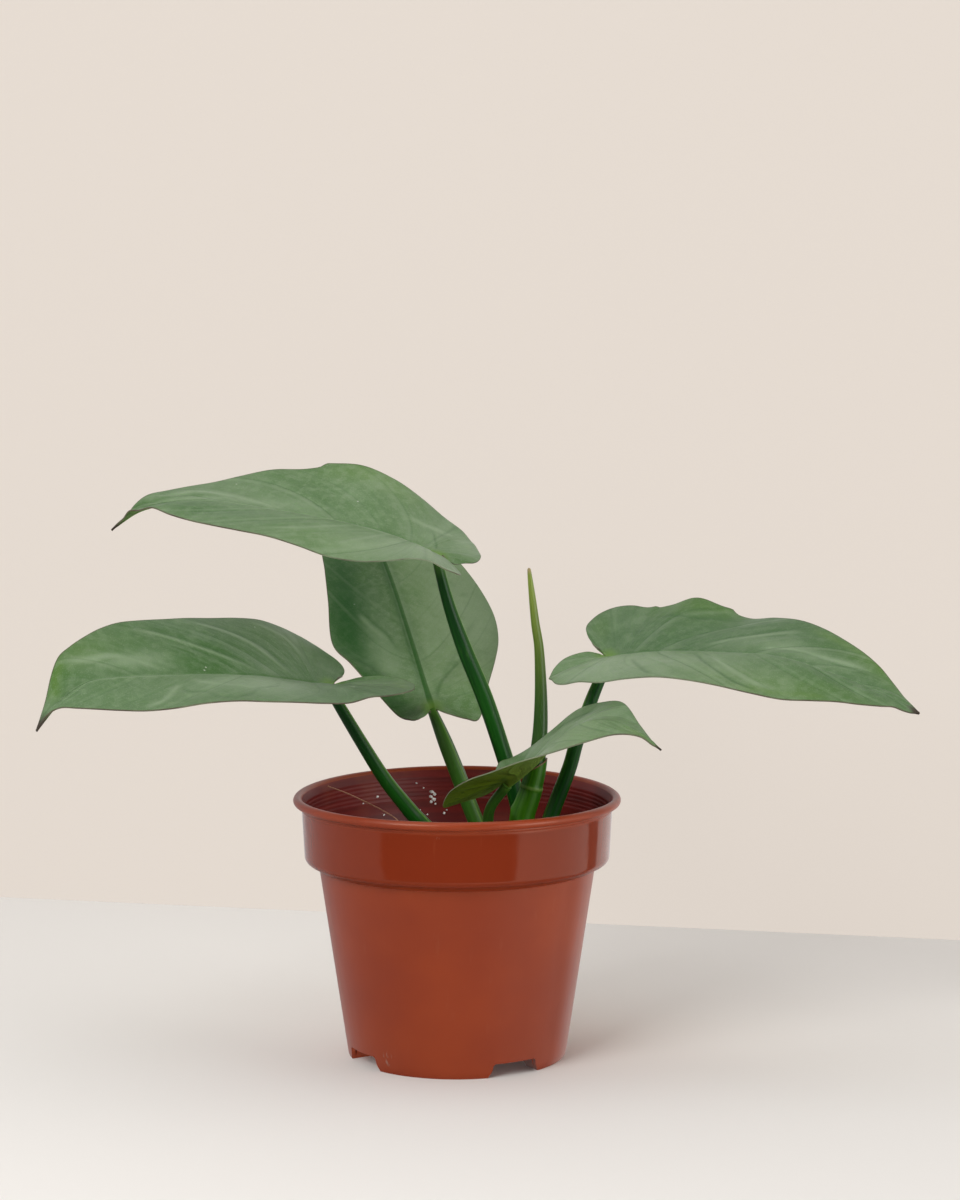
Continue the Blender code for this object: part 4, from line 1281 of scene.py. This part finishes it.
def makeSoil():
    form = soilForm
    turns = np.linspace(0, math.tau, form["turns"] + 1)
    edge = soilWallRadius(form["edge"])
    rings = []
    for ring in range(form["rings"] + 1):
        radius = edge * ring / form["rings"]
        line = []
        for turn in turns[:-1]:
            x, y = radius * math.cos(turn), radius * math.sin(turn)
            line.append((x, y, soilHeight(x, y)))
        rings.append(line + line[:1])
    foot = soilWallRadius(form["bottom"]) - 1.0
    for radius in (foot, foot * 0.02):
        rings.append([(radius * math.cos(turn), radius * math.sin(turn), form["bottom"]) for turn in turns])
    piece, _, _ = gridPiece(toWorld(np.array(rings)))
    closeSeams(piece, lambda: bpy.ops.mesh.fill_holes(sides=0))
    smoothAngle(piece, 60)
    dress(piece, "pottingMix", [mixLook()], "soil", "soil")


def scatter(template, count, sizes, flatness, rng):
    # Copies of a small lump lying on the soil, joined in one mesh.
    edge = soilWallRadius(soilForm["edge"]) - soilForm["clear"]
    copies = []
    for _ in range(count):
        radius = edge * math.sqrt(rng.random())
        turn = rng.random() * math.tau
        x, y = radius * math.cos(turn), radius * math.sin(turn)
        size = rng.uniform(*sizes)
        copies.append(placeCopy(
            template,
            (x, y, soilHeight(x, y) + size * 0.25),
            (rng.uniform(-0.5, 0.5), rng.uniform(-0.5, 0.5), rng.random() * math.tau),
            (rng.uniform(0.8, 1.5), rng.uniform(0.7, 1.1), flatness),
            size,
        ))
    return joinCopies(copies, template)


def lumpTemplate(faces, rough, rng):
    deselectAll()
    bpy.ops.mesh.primitive_ico_sphere_add(subdivisions=faces, radius=1.0)
    lump = bpy.context.object
    for vertex in lump.data.vertices:
        vertex.co *= 1 + rng.uniform(-rough, rough)
    return lump


def makeCrumbs():
    form = soilForm
    rng = random.Random(form["seed"])
    crumbs = scatter(lumpTemplate(1, 0.3, rng), form["lumps"], (0.7, 2.2), 0.7, rng)
    dress(crumbs, "soilCrumbs", [mixLook()], "soil")
    grains = scatter(lumpTemplate(2, 0.16, rng), form["perlite"], (0.8, 1.9), 0.85, rng)
    smoothAngle(grains, 60)
    dress(grains, "perlite", [grainLook("perliteLook")], "soil")
    chips = scatter(lumpTemplate(2, 0.3, rng), form["bark"], (1.8, 3.6), 0.34, rng)
    dress(chips, "barkChips", [grainLook("barkLook")], "soil")


def mixLook():
    recipe = Recipe("pottingMixLook")
    coarse = recipe.noise(240, 4)
    fine = recipe.noise(1300, 3)
    colour = recipe.blend(recipe.between(coarse, 0.35, 0.68), (0.010, 0.006, 0.004), (0.050, 0.030, 0.018))
    colour = recipe.blend(recipe.between(fine, 0.62, 0.75) * 0.5, colour, (0.12, 0.075, 0.045))
    return recipe.finish((coarse + fine * 0.4) * 0.0006, Base_Color=colour, Roughness=0.95)


# Bits on the pot's inner wall: turn from the back in degrees (to the left is less than 0), height, size.
# Their places were turned from spots in the photograph into places on the wall in a separate program.
wallBits = [
    (-10.5, 109.6, 1.05), (-9.5, 108.6, 0.8), (-11.0, 107.5, 0.95), (-9.9, 106.2, 1.05), (-10.9, 104.9, 0.75),
    (-9.2, 103.9, 0.5), (-10.2, 106.6, 0.45), (-33.8, 109.0, 0.7), (-16.8, 114.2, 0.5), (-5.7, 99.3, 0.6),
    (-13.9, 111.8, 0.4), (-40.7, 106.6, 0.4), (-4.6, 100.8, 0.35), (-31.0, 100.0, 0.4), (24.0, 104.0, 0.4),
    (-15.5, 101.0, 0.4), (-22.0, 104.5, 0.35), (-12.5, 98.8, 0.45),
]


def makeWallBits():
    rng = random.Random(soilForm["bitsSeed"])
    template = lumpTemplate(2, 0.3, rng)
    copies = []
    for turned, height, size in wallBits:
        angle = math.radians(90.0 - turned)
        radius = collarInside(height) - 0.2
        copies.append(placeCopy(
            template,
            (radius * math.cos(angle), radius * math.sin(angle), height),
            (rng.uniform(-1, 1), rng.uniform(-1, 1), angle),
            (0.55, 1.0, rng.uniform(0.8, 1.3)),
            size,
        ))
    bits = joinCopies(copies, template)
    smoothAngle(bits, 60)
    dress(bits, "perliteOnWall", [grainLook("perliteLook")], "soil")


# A dry fibre of the mix that lies from the rim's inside down to the lower left stalk's foot.
fibre = dict(
    path=[(-61.0, 31.5, 118.6, 0.26), (-52, 40, 113.6, 0.26), (-41.8, 42, 108.4, 0.26),
          (-34, 30, 106.6, 0.26), (-27, 18, 104.0, 0.26), (-20, 9, 97, 0.24), (-15, 5, 86, 0.2)],
)


# Stage: floor, wall, lights and camera

stage = dict(
    floorColour=(0.805, 0.795, 0.782), wallColour=(0.12, 0.11, 0.10), wallGlow=(0.637, 0.574, 0.516),
    wallBack=293.0, wallTurn=-12.07,
    keyPower=20.5, keyColour=(1.0, 0.985, 0.955), keySize=0.9, keyTurn=-36.0, keyRise=33.0, keyDistance=1.9,
    fillPower=11.0, fillSize=0.8, fillTurn=52.0, fillRise=7.0, fillDistance=1.7,
    topPower=7.0, topSize=1.6, topHeight=1.7,
    softAim=0.12, topPlace=(-0.3, -0.3), topAim=0.1,
    skyLeft=(0.52, 0.52, 0.53), skyRight=(0.95, 0.93, 0.90), skyUnder=(0.22, 0.19, 0.17),
    skyDark=(0.04, 0.04, 0.04), darkMiddle=-6.0, darkHalf=53.0, darkDown=0.40,
    stripTurn=122.0, stripHalf=7.0,
)


def plainLook(name, colour, glow=(0.0, 0.0, 0.0)):
    recipe = Recipe(name)
    grain = recipe.noise(900, 2)
    colour = recipe.blend(grain * 0.04, colour, (0.5, 0.5, 0.5))
    return recipe.finish(Base_Color=colour, Roughness=0.85, Specular_IOR_Level=0.2,
                         Emission_Color=glow, Emission_Strength=1.0)


def makeStage():
    # Reflections pass the floor and wall by and meet the room's light, as on a photographer's table.
    deselectAll()
    bpy.ops.mesh.primitive_plane_add(size=8.0, location=(0.0, 0.0, 0.0))
    floor = bpy.context.object
    floor.name = "floor"
    floor.data.materials.append(plainLook("floorPaper", stage["floorColour"]))
    deselectAll()
    turn = math.radians(stage["wallTurn"])
    bpy.ops.mesh.primitive_plane_add(
        size=8.0, location=(potAxis.x, potAxis.y + stage["wallBack"] * mm, 4.0),
        rotation=(math.radians(90), 0, turn))
    wall = bpy.context.object
    wall.name = "wall"
    wallPaper = plainLook("wallPaper", stage["wallColour"], stage["wallGlow"])
    tree = wallPaper.node_tree  # from behind, the wall is clear
    behind, clear, mix = (
        tree.nodes.new("ShaderNode" + kind) for kind in ("NewGeometry", "BsdfTransparent", "MixShader"))
    tree.links.new(behind.outputs["Backfacing"], mix.inputs[0])
    tree.links.new(tree.nodes["Principled BSDF"].outputs[0], mix.inputs[1])
    tree.links.new(clear.outputs[0], mix.inputs[2])
    tree.links.new(mix.outputs[0], tree.nodes["Material Output"].inputs["Surface"])
    wall.data.materials.append(wallPaper)
    floor.visible_glossy = False
    wall.visible_glossy = False


def addArea(name, power, size, place, aim):
    # A soft lamp that points at the height aim over the ground.
    bpy.ops.object.light_add(type="AREA", location=place)
    lamp = bpy.context.object
    lamp.name = name
    lamp.data.energy = power
    lamp.data.size = size
    lamp.rotation_euler = (Vector((0.0, 0.0, aim)) - Vector(place)).to_track_quat("-Z", "Y").to_euler()
    return lamp


def makeLights():
    form = stage
    for name in ("key", "fill"):
        turn, rise = math.radians(form[name + "Turn"]), math.radians(form[name + "Rise"])
        distance = form[name + "Distance"]
        flat = distance * math.cos(rise)
        place = Vector((math.sin(turn) * flat, -math.cos(turn) * flat, distance * math.sin(rise)))
        addArea(name + "Softbox", form[name + "Power"], form[name + "Size"], place, form["softAim"])
    bpy.data.objects["fillSoftbox"].data.use_shadow = False
    bpy.data.objects["keySoftbox"].data.color = form["keyColour"]
    place = (*form["topPlace"], form["topHeight"])
    addArea("topSoftbox", form["topPower"], form["topSize"], place, form["topAim"])
    world = bpy.data.worlds.new("studio")
    bpy.context.scene.world = world
    world.use_nodes = True
    # The room is pale all round but for a darker part in front, where the photographer stands.
    recipe = RoomRecipe(world)
    direction = recipe.add("ShaderNodeTexCoord", out="Generated")
    x, y, z = (recipe.add("ShaderNodeSeparateXYZ", sockets={0: direction}, out=name) for name in "XYZ")
    turn = recipe.add("ShaderNodeMath", {"operation": "ARCTAN2"}, {0: x, 1: y * -1.0}) * math.degrees(1.0)
    across = recipe.single("ABSOLUTE", turn - form["darkMiddle"]) / form["darkHalf"]
    down = recipe.add("ShaderNodeMath", {"operation": "MAXIMUM"}, {0: z * -1.0, 1: 0.0}) / form["darkDown"]
    outside = across.maths("POWER", across, 5.0) + down.maths("POWER", down, 5.0)
    strip = recipe.single("ABSOLUTE", turn - form["stripTurn"]) / form["stripHalf"]
    bright = recipe.blend(recipe.between(x, -0.7, 0.7), form["skyLeft"], form["skyRight"])
    bright = recipe.blend(recipe.between(strip, 0.8, 1.25), form["skyUnder"], bright)
    bright = recipe.blend(recipe.between(z * -1.0, 0.42, 0.6), bright, form["skyUnder"])
    colour = recipe.blend(recipe.between(outside, 0.8, 1.25), form["skyDark"], bright)
    recipe.connect(recipe.tree.nodes["Background"].inputs["Color"], colour)


def makeCamera():
    place = Vector(view["place"]) * mm + potAxis
    bpy.ops.object.camera_add(location=place, rotation=(math.radians(90.0 - view["down"]), 0.0, 0.0))
    camera = bpy.context.object
    camera.data.lens = view["lens"]
    camera.data.sensor_width = view["sensor"]
    camera.data.clip_start = 0.05
    bpy.context.scene.camera = camera
    bpy.context.scene.view_settings.view_transform = "Standard"


makeCamera()
makeStage()
makeLights()
print("stage set")

bladeSides = [bladeUnder(), bladeEdge()]
for key, blade in blades.items():
    upper = bladeUpper("bladeUpper_" + key, blade.get("shine", bladeLook["shine"]))
    makeBlade(key, blade, [upper] + bladeSides)
print("blades made")

petioleLook = petioleSkin()
for key, path in stems.items():
    stalk = sweep(fromBelow(path) + [seatUnder(blades[key])], petioleSection)
    addAttribute(stalk, "youngAndLitStem", np.full(len(stalk.data.vertices), stemForm["young"].get(key, 0.0)))
    dress(stalk, "stalk_" + key, [petioleLook], "petiole", "petiole_" + key)
sheath = sweep(fromBelow(sheathForm["path"]), sheathSection)
# The sheath's mouth is cut slanting round the rolled leaf.
inEditMode(sheath, lambda: bpy.ops.mesh.bisect(
    plane_co=toWorld(sheathForm["mouth"]), plane_no=Vector(sheathForm["mouthNormal"]).normalized(),
    use_fill=True, clear_outer=True))
smoothAngle(sheath, 50)
dress(sheath, "leafSheath", [sheathSkin()], "shoot", "sheath")
dress(sweep(rolledForm["path"], rolledSection), "rolledLeaf", [rolledSkin()], "shoot", "rolled_leaf")
print("stems made")

makePot()
makeSoil()
makeCrumbs()
makeWallBits()
fibrePiece = sweep(fibre["path"], lambda turns, share: np.ones_like(turns))
dress(fibrePiece, "dryFibre", [grainLook("fibreLook")], "soil")
print("pot and potting mix made")

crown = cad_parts["crown"]
crown.data.materials.clear()
crown.data.materials.append(grainLook("buriedStem"))
